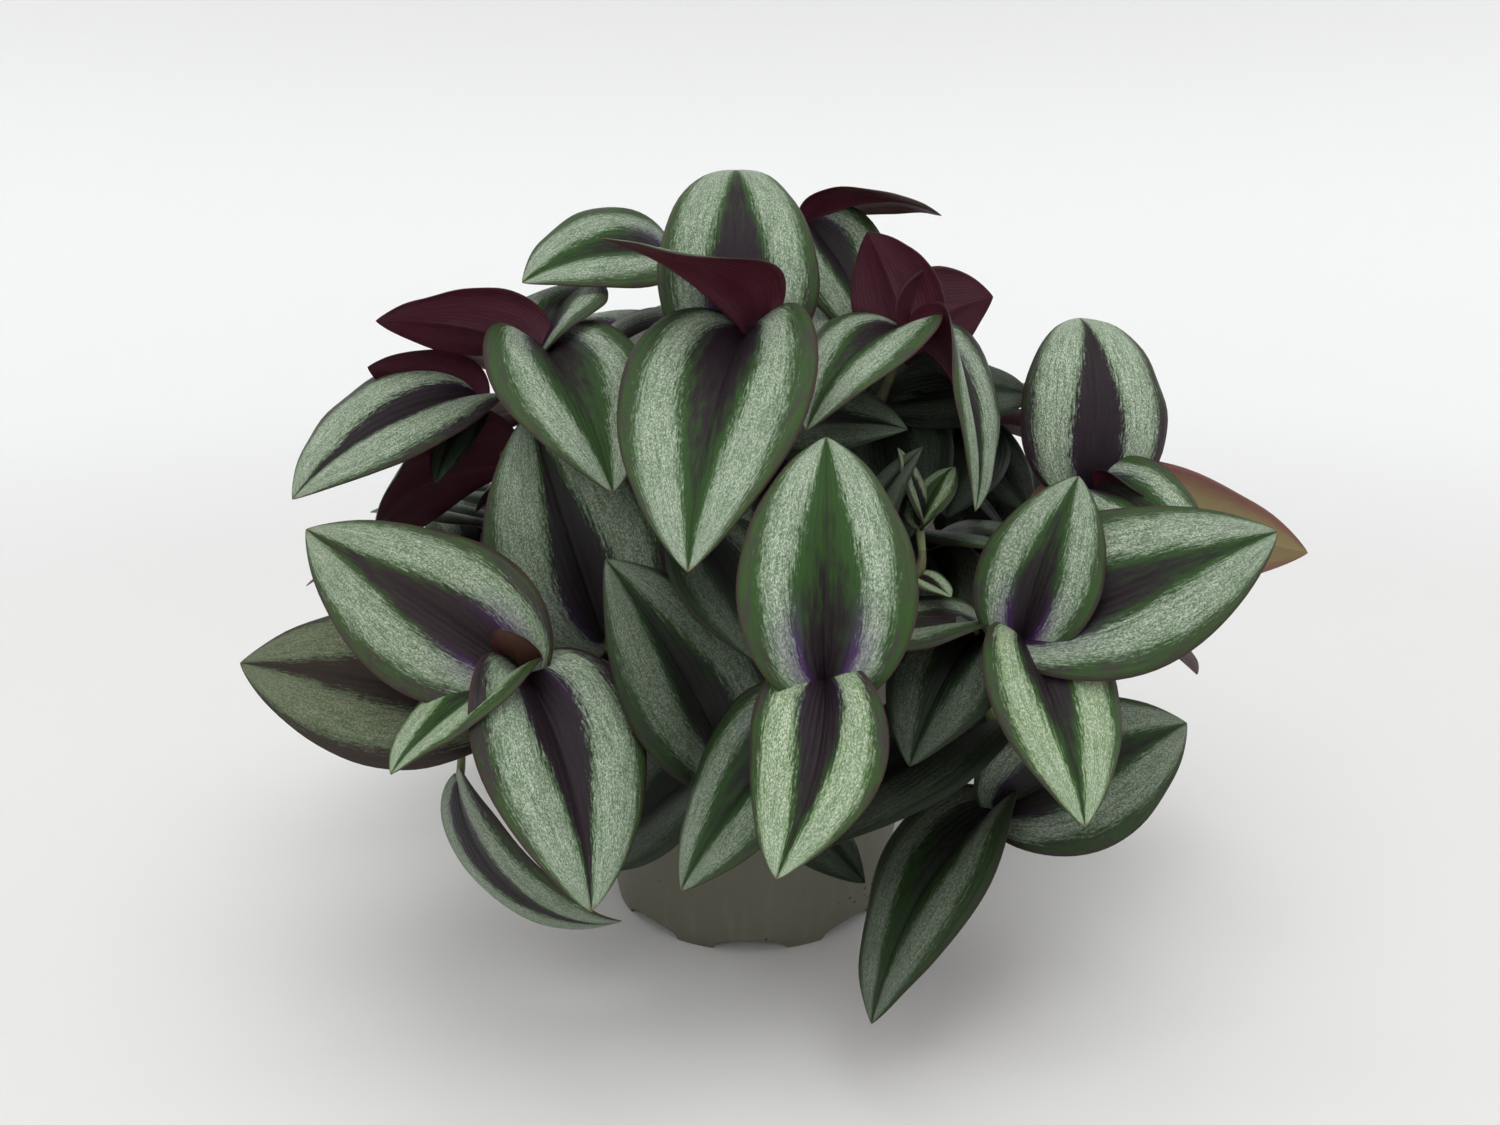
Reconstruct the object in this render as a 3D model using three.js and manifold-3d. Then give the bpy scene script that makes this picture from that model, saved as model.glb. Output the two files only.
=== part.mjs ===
// Potted inch plant: a plastic pot, its soil and leafy shoots, in millimetres, +Z up.
// The origin is on the ground at the middle of the plant, on the pot's axis.
// The plant's front faces -Y, and +X is to its right.

import * as THREE from "three";
import { mergeVertices } from "three/addons/utils/BufferGeometryUtils.js";
import Module from "manifold-3d";

const wasm = await Module();
wasm.setup();

// Pot: a tapered plastic wall with a lip, a raised floor and a scalloped foot
const POT_HEIGHT = 92;
const FOOT_RADIUS = 44;
const SHOULDER_RADIUS = 58;
const LIP_RADIUS = 60;
const LIP_HEIGHT = 8;
const LIP_ROUNDING = 1;
const WALL = 1.3;
const FLOOR_UNDERSIDE = 6;
const FLOOR_TOP = 7.6;
const POT_SIDES = 32;
const ARCHES = 8;
const ARCH_ANGLE = 30;
const ARCH_HEIGHT = 3.6;
const ARCH_DEPTH = 12;
const ARCH_STEPS = 4;
const DRAIN_HOLES = 8;
const DRAIN_RADIUS = 4;
const DRAIN_RING = 30;
const DRAIN_SIDES = 6;

// Soil: fills the pot to just below the lip, a little higher in the middle
const SOIL_EDGE_TOP = 80;
const SOIL_MIDDLE_TOP = 84;
const SOIL_SHOULDER = 0.6;

// Fit: what rests in or beside another piece keeps this gap
const GAP = 0.3;

// Stems
const STEM_RADIUS = 2;
const STEM_SIDES = 5;
const STEM_STEPS = 6;

// Leaves: a pointed oval blade, folded at its rib and puffed on both halves
const BLADE_THICKNESS = 0.9;
const ROWS = [0, 0.14, 0.4, 0.72, 1];
const COLUMNS = [-1, -0.5, 0, 0.5, 1];
const FULLNESS_AT_BASE = 0.46;
const FULLNESS_AT_TIP = 0.86;
const LOBE_DEPTH = 0.1;
const USUAL_FOLD = 35;
const LEAST_FOLD = 12;
const USUAL_CURL = 40;
const FOLD_FADE = 1.6;
const CURL_AT_BASE = 0.35;
const CURL_PUFF = 0.65;
const PUFF_REACH = 1.15;
const LOBE_SPREAD = 1.5;
const LOBE_FADE = 6;

// Clearance: each leaf is turned aside in small steps until it clears what already stands there
const LEAF_CLEARANCE = 1.2;
const EDGE_CLEARANCE = 0.8;
const STEM_CLEARANCE = 2.6;
const GROUND_CLEARANCE = 3;
const POT_CLEARANCE = 2.5;
const OVER_RIM = 2;
const INSIDE_RIM = 3;
const LEAF_SIZES = [1, 0.84, 0.7];
const TURN_STEPS = [0, 4, 8, 13, 19, 26, 34, 44];
const DIAGONAL = 0.7;
const OWN_SHOOT_FIRST_ROW = 1;
const RIBBON_STEPS = 3;
const LEAST_SIZE = 1e-9;

const DEGREE = Math.PI / 180;

const PLASTIC = { color: 0x8d8b7c, roughness: 0.55, metalness: 0 };
const EARTH = { color: 0x3b2c22, roughness: 0.95, metalness: 0 };
const FOLIAGE = { color: 0x7f9a7a, roughness: 0.42, metalness: 0 };

// Shoots of the front, as they stand. A stem is its list of points, from its foot in the soil.
// A leaf is: stem point, length, width, heading, pitch, roll, arch, and what is unusual about it.
// Heading 0 is to the right and 90 to the back. Roll tilts its face to the right of its heading.
const SHOOTS = [
  {
    name: "crown",
    stem: [[4, 4, 72], [4, 2, 120], [2, -18, 152], [-3, -38, 178], [-1, -45, 184]],
    leaves: [
      [3, 68, 47, 92, 56, 0, 100, { fold: -10 }], [4, 79, 52, -103, -40, 4, 55],
      [4, 46, 42, -160, 33, 0, 35, { fold: 85, fused: true }], [2, 70, 40, -80, -52, 0, 50],
      [2, 56, 44, 82, 0, 0, 50],
    ],
  },
  {
    name: "low_centre",
    stem: [[2, -36, 72], [4, -62, 100], [15, -98, 100], [17, -110, 112]],
    leaves: [
      [3, 61, 42, 88, 64, 0, 70], [3, 47, 33, -112, -48, 0, 50, { sway: 4 }],
      [2, 53, 38, -155, -49, -10, 30],
    ],
  },
  {
    name: "front_under",
    stem: [[-8, -40, 72], [-10, -56, 99], [-9, -73, 92], [-7, -77, 79]],
    leaves: [
      [3, 64, 42, -152, 62, -70, 40], [3, 46, 36, -171, -42, -20, 30],
      [3, 52, 28, -5, -43, 30, 30],
    ],
  },
  {
    name: "upper_left",
    stem: [[-14, 0, 72], [-30, 0, 120], [-50, -8, 158], [-60, -15, 178]],
    leaves: [
      [3, 64, 48, -62, -32, 0, 50], [3, 47, 28, -161, 11, 50, 40, { fold: 50 }],
      [3, 36, 32, 65, 30, 0, 60], [2, 50, 36, -35, -20, 0, 50], [2, 54, 38, 25, 4, 0, 50],
    ],
  },
  {
    name: "left_low",
    stem: [[-28, -24, 72], [-46, -48, 104], [-62, -74, 92], [-56, -85, 104]],
    leaves: [
      [3, 66, 44, 169, 32, -50, 25], [2, 72, 48, 177, 8, -50, 25], [3, 64, 46, -63, -43, -10, 60],
      [3, 45, 30, -123, -13, 10, 40, { fused: true }],
      [3, 22, 12, -100, 50, 0, 40, { fused: true }],
    ],
  },
  {
    name: "right_low",
    stem: [[24, -26, 72], [42, -48, 104], [60, -67, 109], [68, -80, 112]],
    leaves: [
      [3, 66, 46, -5, 26, 50, 25], [3, 53, 34, -80, -37, 0, 50], [2, 45, 34, -126, -34, 0, 50],
      [3, 45, 32, 40, 66, 30, 60], [2, 46, 34, -162, -28, 0, 40],
    ],
  },
  {
    name: "right_high",
    stem: [[28, 0, 72], [54, -8, 116], [86, -18, 124], [99, -25, 138]],
    leaves: [
      [3, 65, 45, 88, 56, 0, 100, { fold: -10 }], [3, 46, 30, -35, -5, 30, 90],
      [3, 26, 20, -50, -10, -40, 40, { fused: true }], [2, 78, 46, -10, -2, -80, 50],
      [1, 50, 36, -60, 10, 0, 50],
    ],
  },
  {
    name: "right_under",
    stem: [[34, -14, 72], [49, -33, 103], [67, -59, 80], [67, -70, 60]],
    leaves: [
      [3, 68, 44, -134, -36, 20, 50], [3, 58, 44, 10, 22, 50, 40], [2, 69, 46, -170, -41, 0, 50],
    ],
  },
  {
    name: "inner_right",
    stem: [[16, -6, 72], [24, -6, 120], [38, -8, 160], [46, -12, 181]],
    leaves: [
      [3, 62, 38, -69, -47, -42, 60, { fold: 70 }],
      [3, 33, 30, 160, 66, 80, 40, { fold: 10, fused: true }],
      [3, 31, 34, 20, 22, -75, 60, { fold: 10, fused: true }],
      [3, 66, 36, -122, -18, 0, 60, { fused: true }], [2, 48, 40, -84, -48, 0, 40],
      [2, 49, 30, 0, 4, 45, 60, { fused: true }],
    ],
  },
  {
    name: "left_under",
    stem: [[-34, -12, 72], [-56, -32, 100], [-76, -56, 82], [-79, -66, 66]],
    leaves: [
      [3, 66, 34, -8, -41, 120, 96, { fold: 10 }], [2, 46, 34, 160, -20, 0, 50],
    ],
  },
  {
    name: "left_high",
    stem: [[-26, 8, 72], [-48, 6, 116], [-74, 2, 140], [-84, 8, 160]],
    leaves: [
      [3, 71, 42, -131, -18, -20, 60], [3, 36, 24, -150, 20, 60, 40, { fused: true }],
      [2, 60, 44, -125, -6, 60, 80], [3, 39, 16, -102, -31, 0, 30, { fused: true }],
      [1, 50, 36, -170, -20, 0, 50],
    ],
  },
  {
    name: "left_inner",
    stem: [[-18, -24, 72], [-26, -42, 98], [-40, -52, 103]],
    leaves: [
      [2, 66, 52, 152, 70, -50, 40], [1, 40, 30, -60, -10, 0, 50],
    ],
  },
  {
    name: "top_back",
    stem: [[-6, 12, 72], [-10, 20, 130], [-18, 27, 180], [-26, 30, 200]],
    leaves: [
      [3, 58, 40, -138, -12, -35, 70], [2, 50, 36, -136, -20, 0, 60], [3, 44, 34, 150, 10, 0, 60],
    ],
  },
  {
    name: "top_right",
    stem: [[8, 18, 72], [12, 20, 130], [17, 24, 180], [18, 24, 213]],
    leaves: [
      [3, 45, 22, -25, 3, -20, 60], [3, 49, 36, -44, -49, 20, 50], [2, 44, 34, 50, 20, 0, 60],
    ],
  },
  {
    name: "inner_front",
    stem: [[10, -28, 72], [22, -44, 100], [44, -54, 120], [46, -50, 134]],
    leaves: [
      [3, 22, 14, 150, 70, 0, 30], [3, 20, 16, 40, 48, 0, 50, { fused: true }],
      [2, 16, 12, -60, -4, 0, 30], [1, 62, 34, -16, 66, 30, 40, { fused: true }],
    ],
  },
  {
    name: "front_inner",
    stem: [[-4, -24, 72], [-8, -42, 108], [-14, -64, 134]],
    leaves: [
      [2, 40, 34, -73, -60, 0, 40],
    ],
  },
  {
    name: "left_back",
    stem: [[-34, 10, 72], [-58, 20, 108], [-80, 28, 108], [-92, 32, 102]],
    leaves: [
      [3, 68, 46, 172, -10, 0, 50], [3, 58, 42, 100, -10, 0, 50], [2, 50, 36, -150, 20, 0, 50],
    ],
  },
];

// Shoots of the back, in rows from the rim to the top. Their azimuths run from the first to the last.
// Reach and height give the stem's points, and a leaf's heading is taken from the shoot's azimuth.
const BACK_ROWS = [
  {
    name: "rim", count: 5, first: 20, last: 146, reach: [46, 58, 77, 92], height: [72, 104, 107, 98],
    leaves: [[3, 72, 48, 0, -20, 0, 50], [3, 58, 42, 68, -4, 0, 50], [3, 56, 40, -68, -22, 0, 50],
      [2, 56, 40, -40, 24, 0, 60]],
  },
  {
    name: "side", count: 4, first: 22, last: 154, reach: [30, 40, 53, 68], height: [72, 112, 140, 148],
    leaves: [[3, 66, 46, 0, -18, 0, 60], [3, 60, 42, 64, 6, 0, 60], [3, 60, 42, -64, -12, 0, 50],
      [2, 50, 36, 40, -30, 0, 50], [2, 50, 36, -60, 30, 0, 50]],
  },
  {
    name: "top", count: 2, first: 88, last: 132, reach: [22, 26, 38, 50], height: [72, 120, 156, 172],
    leaves: [[3, 62, 44, 0, -10, 0, 60], [3, 56, 40, 70, 8, 0, 60], [3, 56, 40, -70, -6, 0, 50],
      [2, 50, 40, 10, -40, 0, 50]],
  },
];
const STEM_FOOT = 72;
const SEED = 13;
const AZIMUTH_SPREAD = 5;
const STEM_SWEEP = 3;
const LEAST_GROWTH = 0.94;
const MOST_GROWTH = 1.06;
const LEAST_LEAF = 0.9;
const MOST_LEAF = 1.08;
const HEADING_SPREAD = 12;
const PITCH_SPREAD = 9;
const ROLL_SPREAD = 14;

// Seeded draws, so that the back grows the same way each time
function drawsFrom(seed) {
  let state = seed;
  return (low, high) => {
    state = (state * 1664525 + 1013904223) % 4294967296;
    return low + ((high - low) * state) / 4294967296;
  };
}

function backShoots() {
  const draw = drawsFrom(SEED);
  const shoots = [];
  for (const row of BACK_ROWS) {
    for (let k = 0; k < row.count; k += 1) {
      const spacing = (row.last - row.first) / (row.count - 1);
      const azimuth = row.first + spacing * k + draw(-AZIMUTH_SPREAD, AZIMUTH_SPREAD);
      const growth = draw(LEAST_GROWTH, MOST_GROWTH);
      const side = k % 2 ? 1 : -1;
      const stem = row.reach.map((reach, i) => {
        const angle = (azimuth + side * STEM_SWEEP * i) * DEGREE;
        const height = STEM_FOOT + (row.height[i] - STEM_FOOT) * growth;
        return [reach * Math.cos(angle), reach * Math.sin(angle), height];
      });
      const leaves = row.leaves.map(([point, length, width, heading, pitch, roll, arch]) => {
        const size = draw(LEAST_LEAF, MOST_LEAF);
        const turned = azimuth + side * heading + draw(-HEADING_SPREAD, HEADING_SPREAD);
        const raised = pitch + draw(-PITCH_SPREAD, PITCH_SPREAD);
        const rolled = roll + draw(-ROLL_SPREAD, ROLL_SPREAD);
        return [point, length * size, width * size, turned, raised, rolled, arch];
      });
      shoots.push({ name: `${row.name}_${k + 1}`, stem, leaves });
    }
  }
  return shoots;
}

// Solids from geometry, and meshes from solids
function solidOf(geometry) {
  geometry.deleteAttribute("normal");
  geometry.deleteAttribute("uv");
  const merged = mergeVertices(geometry);
  const corners = merged.index.array;
  const triangles = [];
  for (let i = 0; i < corners.length; i += 3) {
    const [a, b, c] = [corners[i], corners[i + 1], corners[i + 2]];
    if (a !== b && b !== c && c !== a) {
      triangles.push(a, b, c);
    }
  }
  return new wasm.Manifold(
    new wasm.Mesh({
      numProp: 3,
      vertProperties: new Float32Array(merged.attributes.position.array),
      triVerts: new Uint32Array(triangles),
    }),
  );
}

function meshOf(name, solid, finish) {
  const { vertProperties, triVerts } = solid.getMesh();
  const geometry = new THREE.BufferGeometry();
  geometry.setAttribute("position", new THREE.BufferAttribute(vertProperties, 3));
  geometry.setIndex(new THREE.BufferAttribute(triVerts, 1));
  geometry.computeVertexNormals();
  const mesh = new THREE.Mesh(geometry, new THREE.MeshStandardMaterial(finish));
  mesh.name = name;
  return mesh;
}

// Joins solids into one body. A scrap or a sealed hollow that the joining leaves is dropped.
function joined(solids) {
  const whole = solids.reduce((sum, solid) => sum.add(solid));
  const bodies = whole.decompose();
  return bodies.reduce((best, body) => (body.volume() > best.volume() ? body : best));
}

function turnedSolid(profile, sides) {
  const points = profile.map(([radius, height]) => new THREE.Vector2(radius, height));
  const geometry = new THREE.LatheGeometry(points, sides);
  geometry.rotateX(Math.PI / 2);
  return solidOf(geometry);
}

// The pot's outer radius at a height, up to its lip
function potRadius(height) {
  const shoulder = POT_HEIGHT - LIP_HEIGHT;
  return FOOT_RADIUS + ((SHOULDER_RADIUS - FOOT_RADIUS) * Math.min(height, shoulder)) / shoulder;
}

// What a foot arch takes away: half an ellipse over a low block, through the front of the foot
function footArch() {
  const half = FOOT_RADIUS * Math.sin((ARCH_ANGLE / 2) * DEGREE);
  const outline = [new THREE.Vector2(half, -ARCH_HEIGHT)];
  for (let i = 0; i <= ARCH_STEPS; i += 1) {
    const angle = (i * Math.PI) / ARCH_STEPS;
    outline.push(new THREE.Vector2(half * Math.cos(angle), ARCH_HEIGHT * Math.sin(angle)));
  }
  outline.push(new THREE.Vector2(-half, -ARCH_HEIGHT));
  const options = { depth: ARCH_DEPTH, bevelEnabled: false, steps: 1 };
  const geometry = new THREE.ExtrudeGeometry(new THREE.Shape(outline), options);
  geometry.rotateX(Math.PI / 2);
  geometry.translate(0, -FOOT_RADIUS + ARCH_DEPTH / 2, 0);
  return geometry;
}

function drainHole(radius, angle) {
  const geometry = new THREE.CylinderGeometry(DRAIN_RADIUS, DRAIN_RADIUS, FLOOR_TOP, DRAIN_SIDES);
  geometry.rotateX(Math.PI / 2);
  geometry.translate(radius * Math.cos(angle), radius * Math.sin(angle), FLOOR_TOP);
  return solidOf(geometry);
}

function potSolid() {
  const shoulder = POT_HEIGHT - LIP_HEIGHT;
  let pot = turnedSolid(
    [
      [0, FLOOR_UNDERSIDE],
      [potRadius(FLOOR_UNDERSIDE) - WALL, FLOOR_UNDERSIDE],
      [potRadius(0) - WALL, 0],
      [potRadius(0), 0],
      [potRadius(shoulder), shoulder],
      [LIP_RADIUS, shoulder],
      [LIP_RADIUS, POT_HEIGHT - LIP_ROUNDING],
      [LIP_RADIUS - LIP_ROUNDING, POT_HEIGHT],
      [SHOULDER_RADIUS - WALL, POT_HEIGHT],
      [potRadius(shoulder) - WALL, shoulder],
      [potRadius(FLOOR_TOP) - WALL, FLOOR_TOP],
      [0, FLOOR_TOP],
    ],
    POT_SIDES,
  );
  for (let i = 0; i < ARCHES; i += 1) {
    const arch = footArch();
    arch.rotateZ((i * 2 * Math.PI) / ARCHES);
    pot = pot.subtract(solidOf(arch));
  }
  for (let i = 0; i < DRAIN_HOLES; i += 1) {
    pot = pot.subtract(drainHole(DRAIN_RING, ((i + 0.5) * 2 * Math.PI) / DRAIN_HOLES));
  }
  return pot.subtract(drainHole(0, 0));
}

function soilSolid(shoots) {
  const inside = (height) => potRadius(height) - WALL - GAP;
  const bottom = FLOOR_TOP + GAP;
  let soil = turnedSolid(
    [
      [0, bottom],
      [inside(bottom), bottom],
      [inside(SOIL_EDGE_TOP), SOIL_EDGE_TOP],
      [inside(SOIL_EDGE_TOP) * SOIL_SHOULDER, SOIL_MIDDLE_TOP - 1],
      [0, SOIL_MIDDLE_TOP],
    ],
    POT_SIDES,
  );
  for (const shoot of shoots) {
    soil = soil.subtract(stemHole(shoot.stem));
  }
  return soil;
}

// A stem: a tube with few sides through the stem's points
function tube(points, radius) {
  const path = new THREE.CatmullRomCurve3(points, false, "catmullrom", 0.5);
  const outline = [];
  for (let i = 0; i < STEM_SIDES; i += 1) {
    const angle = (i * 2 * Math.PI) / STEM_SIDES;
    outline.push(new THREE.Vector2(radius * Math.cos(angle), radius * Math.sin(angle)));
  }
  const options = { steps: STEM_STEPS, bevelEnabled: false, extrudePath: path };
  return solidOf(new THREE.ExtrudeGeometry(new THREE.Shape(outline), options));
}

function stemPoints(stem) {
  return stem.map(([x, y, z]) => new THREE.Vector3(x, y, z));
}

// The plain hole that a stem stands in, a gap wider than the stem and a gap deeper
function stemHole(stem) {
  const points = stemPoints(stem);
  const down = points[0].clone().sub(points[1]).normalize();
  points[0].addScaledVector(down, GAP);
  return tube(points, STEM_RADIUS + GAP / Math.cos(Math.PI / STEM_SIDES));
}

// How far a blade's edge stands from its rib, from 0 at its ends to 1 at its widest
function bladeOutline(u) {
  const widest = FULLNESS_AT_BASE / (FULLNESS_AT_BASE + FULLNESS_AT_TIP);
  const at = (x) => x ** FULLNESS_AT_BASE * (1 - x) ** FULLNESS_AT_TIP;
  return at(u) / at(widest);
}

// A leaf's directions: along its chord, out of its upper face, and across it
function leafFrame(heading, pitch, roll) {
  const [h, p, r] = [heading * DEGREE, pitch * DEGREE, roll * DEGREE];
  const flat = new THREE.Vector3(Math.cos(h), Math.sin(h), 0);
  const along = flat.clone().multiplyScalar(Math.cos(p));
  along.z = Math.sin(p);
  const upright = flat.clone().multiplyScalar(-Math.sin(p));
  upright.z = Math.cos(p);
  const aside = along.clone().cross(upright);
  const face = upright.multiplyScalar(Math.cos(r)).addScaledVector(aside, Math.sin(r));
  return { along, face, across: face.clone().cross(along) };
}

// Points of a blade, row by row from base to tip, lifted off its middle surface by a distance
function bladePoints(leaf, lift) {
  const { along, face, across } = leafFrame(leaf.heading, leaf.pitch, leaf.roll);
  const bend = Math.max(leaf.arch, 0.5) * DEGREE;
  return ROWS.map((u) => {
    const turn = bend / 2 - bend * u;
    const forward = (leaf.length / bend) * (Math.sin(bend / 2) - Math.sin(turn));
    const rise = (leaf.length / bend) * (Math.cos(turn) - Math.cos(bend / 2));
    const rib = new THREE.Vector3(...leaf.base)
      .addScaledVector(along, forward)
      .addScaledVector(face, rise)
      .addScaledVector(across, leaf.sway * Math.sin(Math.PI * u));
    const onward = along.clone().multiplyScalar(Math.cos(turn)).addScaledVector(face, Math.sin(turn));
    const up = face.clone().multiplyScalar(Math.cos(turn)).addScaledVector(along, -Math.sin(turn));
    const half = (leaf.width / 2) * bladeOutline(u);
    const fold = (leaf.fold * (1 - u) ** FOLD_FADE + LEAST_FOLD) * DEGREE;
    const puff = Math.sin(Math.PI * Math.min(u * PUFF_REACH, 1));
    const curl = USUAL_CURL * (CURL_AT_BASE + CURL_PUFF * puff) * DEGREE;
    return COLUMNS.map((column) => {
      const v = u > 0 && u < 1 ? column : 0;
      const t = Math.abs(v);
      const slope = fold - curl * t;
      const out = (half / curl) * (Math.sin(fold) - Math.sin(slope)) * Math.sign(v);
      const high = (half / curl) * (Math.cos(slope) - Math.cos(fold));
      const lobe = LOBE_DEPTH * leaf.width * t ** LOBE_SPREAD * (1 - u) ** LOBE_FADE;
      return rib.clone()
        .addScaledVector(across, out - lift * Math.sign(v) * Math.sin(slope))
        .addScaledVector(up, high + lift * (v === 0 ? 1 : Math.cos(slope)))
        .addScaledVector(onward, -lobe);
    });
  });
}

// The two triangles of one cell of a blade, with its halves split as mirror images
function cellTriangles(row, column) {
  const a = [row, column];
  const b = [row + 1, column];
  const c = [row + 1, column + 1];
  const d = [row, column + 1];
  const isFirstHalf = column < (COLUMNS.length - 1) / 2;
  return isFirstHalf ? [[a, b, c], [a, c, d]] : [[a, b, d], [b, c, d]];
}

// A leaf: two blade faces and the rim between them
function leafSolid(leaf) {
  const faces = [bladePoints(leaf, BLADE_THICKNESS / 2), bladePoints(leaf, -BLADE_THICKNESS / 2)];
  const positions = [];
  const put = (side, [row, column]) => positions.push(...faces[side][row][column].toArray());
  const lastRow = ROWS.length - 1;
  const lastColumn = COLUMNS.length - 1;
  for (let row = 0; row < lastRow; row += 1) {
    for (let column = 0; column < lastColumn; column += 1) {
      for (const [p, q, r] of cellTriangles(row, column)) {
        [p, q, r].forEach((corner) => put(0, corner));
        [r, q, p].forEach((corner) => put(1, corner));
      }
    }
  }
  const rim = [];
  for (let row = 0; row < lastRow; row += 1) {
    rim.push([[row + 1, 0], [row, 0]], [[row, lastColumn], [row + 1, lastColumn]]);
  }
  for (let column = 0; column < lastColumn; column += 1) {
    rim.push([[0, column], [0, column + 1]], [[lastRow, column + 1], [lastRow, column]]);
  }
  for (const [p, q] of rim) {
    [[0, p], [0, q], [1, q], [0, p], [1, q], [1, p]].forEach(([side, corner]) => put(side, corner));
  }
  const geometry = new THREE.BufferGeometry();
  geometry.setAttribute("position", new THREE.Float32BufferAttribute(positions, 3));
  return solidOf(geometry);
}

// A surface of triangles from rows of points, with the boxes that its parts lie in
function surfaceOf(points, firstRow = 0) {
  const triangles = [];
  for (let row = firstRow; row < points.length - 1; row += 1) {
    for (let column = 0; column < points[row].length - 1; column += 1) {
      for (const cell of cellTriangles(row, column)) {
        const corners = cell.map(([i, j]) => points[i][j]);
        triangles.push({ corners, box: new THREE.Box3().setFromPoints(corners) });
      }
    }
  }
  const box = new THREE.Box3();
  triangles.forEach((triangle) => box.union(triangle.box));
  return { triangles, box };
}

// True where the line from one point to another goes through a triangle
function lineMeets(from, to, [a, b, c]) {
  const line = to.clone().sub(from);
  const first = b.clone().sub(a);
  const second = c.clone().sub(a);
  const normal = line.clone().cross(second);
  const size = first.dot(normal);
  if (Math.abs(size) < LEAST_SIZE) {
    return false;
  }
  const offset = from.clone().sub(a);
  const u = offset.dot(normal) / size;
  const turned = offset.cross(first);
  const v = line.dot(turned) / size;
  const reach = second.dot(turned) / size;
  return u >= 0 && v >= 0 && u + v <= 1 && reach >= 0 && reach <= 1;
}

function trianglePierces(one, other) {
  return one.corners.some((corner, i) => lineMeets(corner, one.corners[(i + 1) % 3], other.corners));
}

function surfacesCross(one, other) {
  if (!one.box.intersectsBox(other.box)) {
    return false;
  }
  const near = other.triangles.filter((triangle) => triangle.box.intersectsBox(one.box));
  return one.triangles.some((mine) => near.some((theirs) => mine.box.intersectsBox(theirs.box)
    && (trianglePierces(mine, theirs) || trianglePierces(theirs, mine))));
}

// Flat ribbons along a stem, as wide as the room that leaves leave it
function stemRibbons(stem) {
  const path = new THREE.CatmullRomCurve3(stemPoints(stem), false, "catmullrom", 0.5);
  const middle = path.getPoints(RIBBON_STEPS * (stem.length - 1));
  return [[1, 0, 0], [0, 1, 0], [0, 0, 1], [1, 1, 0], [1, -1, 0]].map((direction) => {
    const aside = new THREE.Vector3(...direction).setLength(STEM_CLEARANCE);
    return surfaceOf(middle.map((point) => [point.clone().sub(aside), point.clone().add(aside)]));
  });
}

// True for a point below the ground's clearance, or in the pot, its soil or its rim
function isTaken({ x, y, z }) {
  const radius = Math.hypot(x, y);
  const share = Math.min(Math.max(z, 0), POT_HEIGHT) / POT_HEIGHT;
  const wall = FOOT_RADIUS + (LIP_RADIUS - FOOT_RADIUS) * share;
  const isNearPot = z < POT_HEIGHT + OVER_RIM && radius < wall + POT_CLEARANCE;
  const isLowOrOuter = z < SOIL_MIDDLE_TOP + OVER_RIM || radius > SHOULDER_RADIUS - INSIDE_RIM;
  return z < GROUND_CLEARANCE || (isNearPot && isLowOrOuter);
}

// A leaf is clear where its thickened blade crosses no other stem or leaf.
// Leaves of one shoot may meet at their bases.
function isClear(leaf, shoot, others) {
  const wide = {
    ...leaf,
    length: leaf.length + EDGE_CLEARANCE,
    width: leaf.width + 2 * EDGE_CLEARANCE,
  };
  const [upper, under] = [bladePoints(wide, LEAF_CLEARANCE), bladePoints(wide, -LEAF_CLEARANCE)];
  if ([upper, under].flat(2).some(isTaken)) {
    return false;
  }
  const rims = [0, COLUMNS.length - 1].map((j) => upper.map((row, i) => [row[j], under[i][j]]));
  const whole = [upper, under, ...rims].map((points) => surfaceOf(points));
  const outer = [surfaceOf(bladePoints(leaf, 0), OWN_SHOOT_FIRST_ROW)];
  return !others.some((other) => {
    const isOwn = other.shoot === shoot;
    if (isOwn && leaf.fused) {
      return false;
    }
    const mine = isOwn ? outer : whole;
    return mine.some((surface) => surfacesCross(surface, isOwn ? other.outer : other.whole));
  });
}

function* turns() {
  const d = DIAGONAL;
  const ways = [[0, 1], [0, -1], [1, 0], [-1, 0], [d, d], [-d, d], [d, -d], [-d, -d]];
  for (const size of LEAF_SIZES) {
    for (const step of TURN_STEPS) {
      for (const [aside, up] of step ? ways : [[0, 0]]) {
        yield { size, aside: aside * step, up: up * step };
      }
    }
  }
}

// The leaf as its row describes it, in the first turn that is clear. Without room there is no leaf.
function clearLeaf(row, shoot, others) {
  const [point, length, width, heading, pitch, roll, arch, unusual = {}] = row;
  const { fold = USUAL_FOLD, sway = 0, fused = false } = unusual;
  for (const { size, aside, up } of turns()) {
    const leaf = {
      base: shoot.stem[point],
      length: length * size,
      width: width * size,
      heading: heading + aside,
      pitch: pitch + up,
      roll,
      arch,
      fold,
      sway,
      fused,
    };
    if (isClear(leaf, shoot, others)) {
      return leaf;
    }
  }
  return null;
}

function grow(shoots) {
  const nothing = surfaceOf([]);
  const others = shoots.flatMap((shoot) =>
    stemRibbons(shoot.stem).map((whole) => ({ shoot, whole, outer: nothing })));
  return shoots.map((shoot) => {
    const leaves = [];
    for (const row of shoot.leaves) {
      const leaf = clearLeaf(row, shoot, others);
      if (leaf) {
        const middle = bladePoints(leaf, 0);
        const outer = surfaceOf(middle, OWN_SHOOT_FIRST_ROW);
        others.push({ shoot, whole: surfaceOf(middle), outer });
        leaves.push(leaf);
      }
    }
    return { ...shoot, leaves };
  });
}

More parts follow.
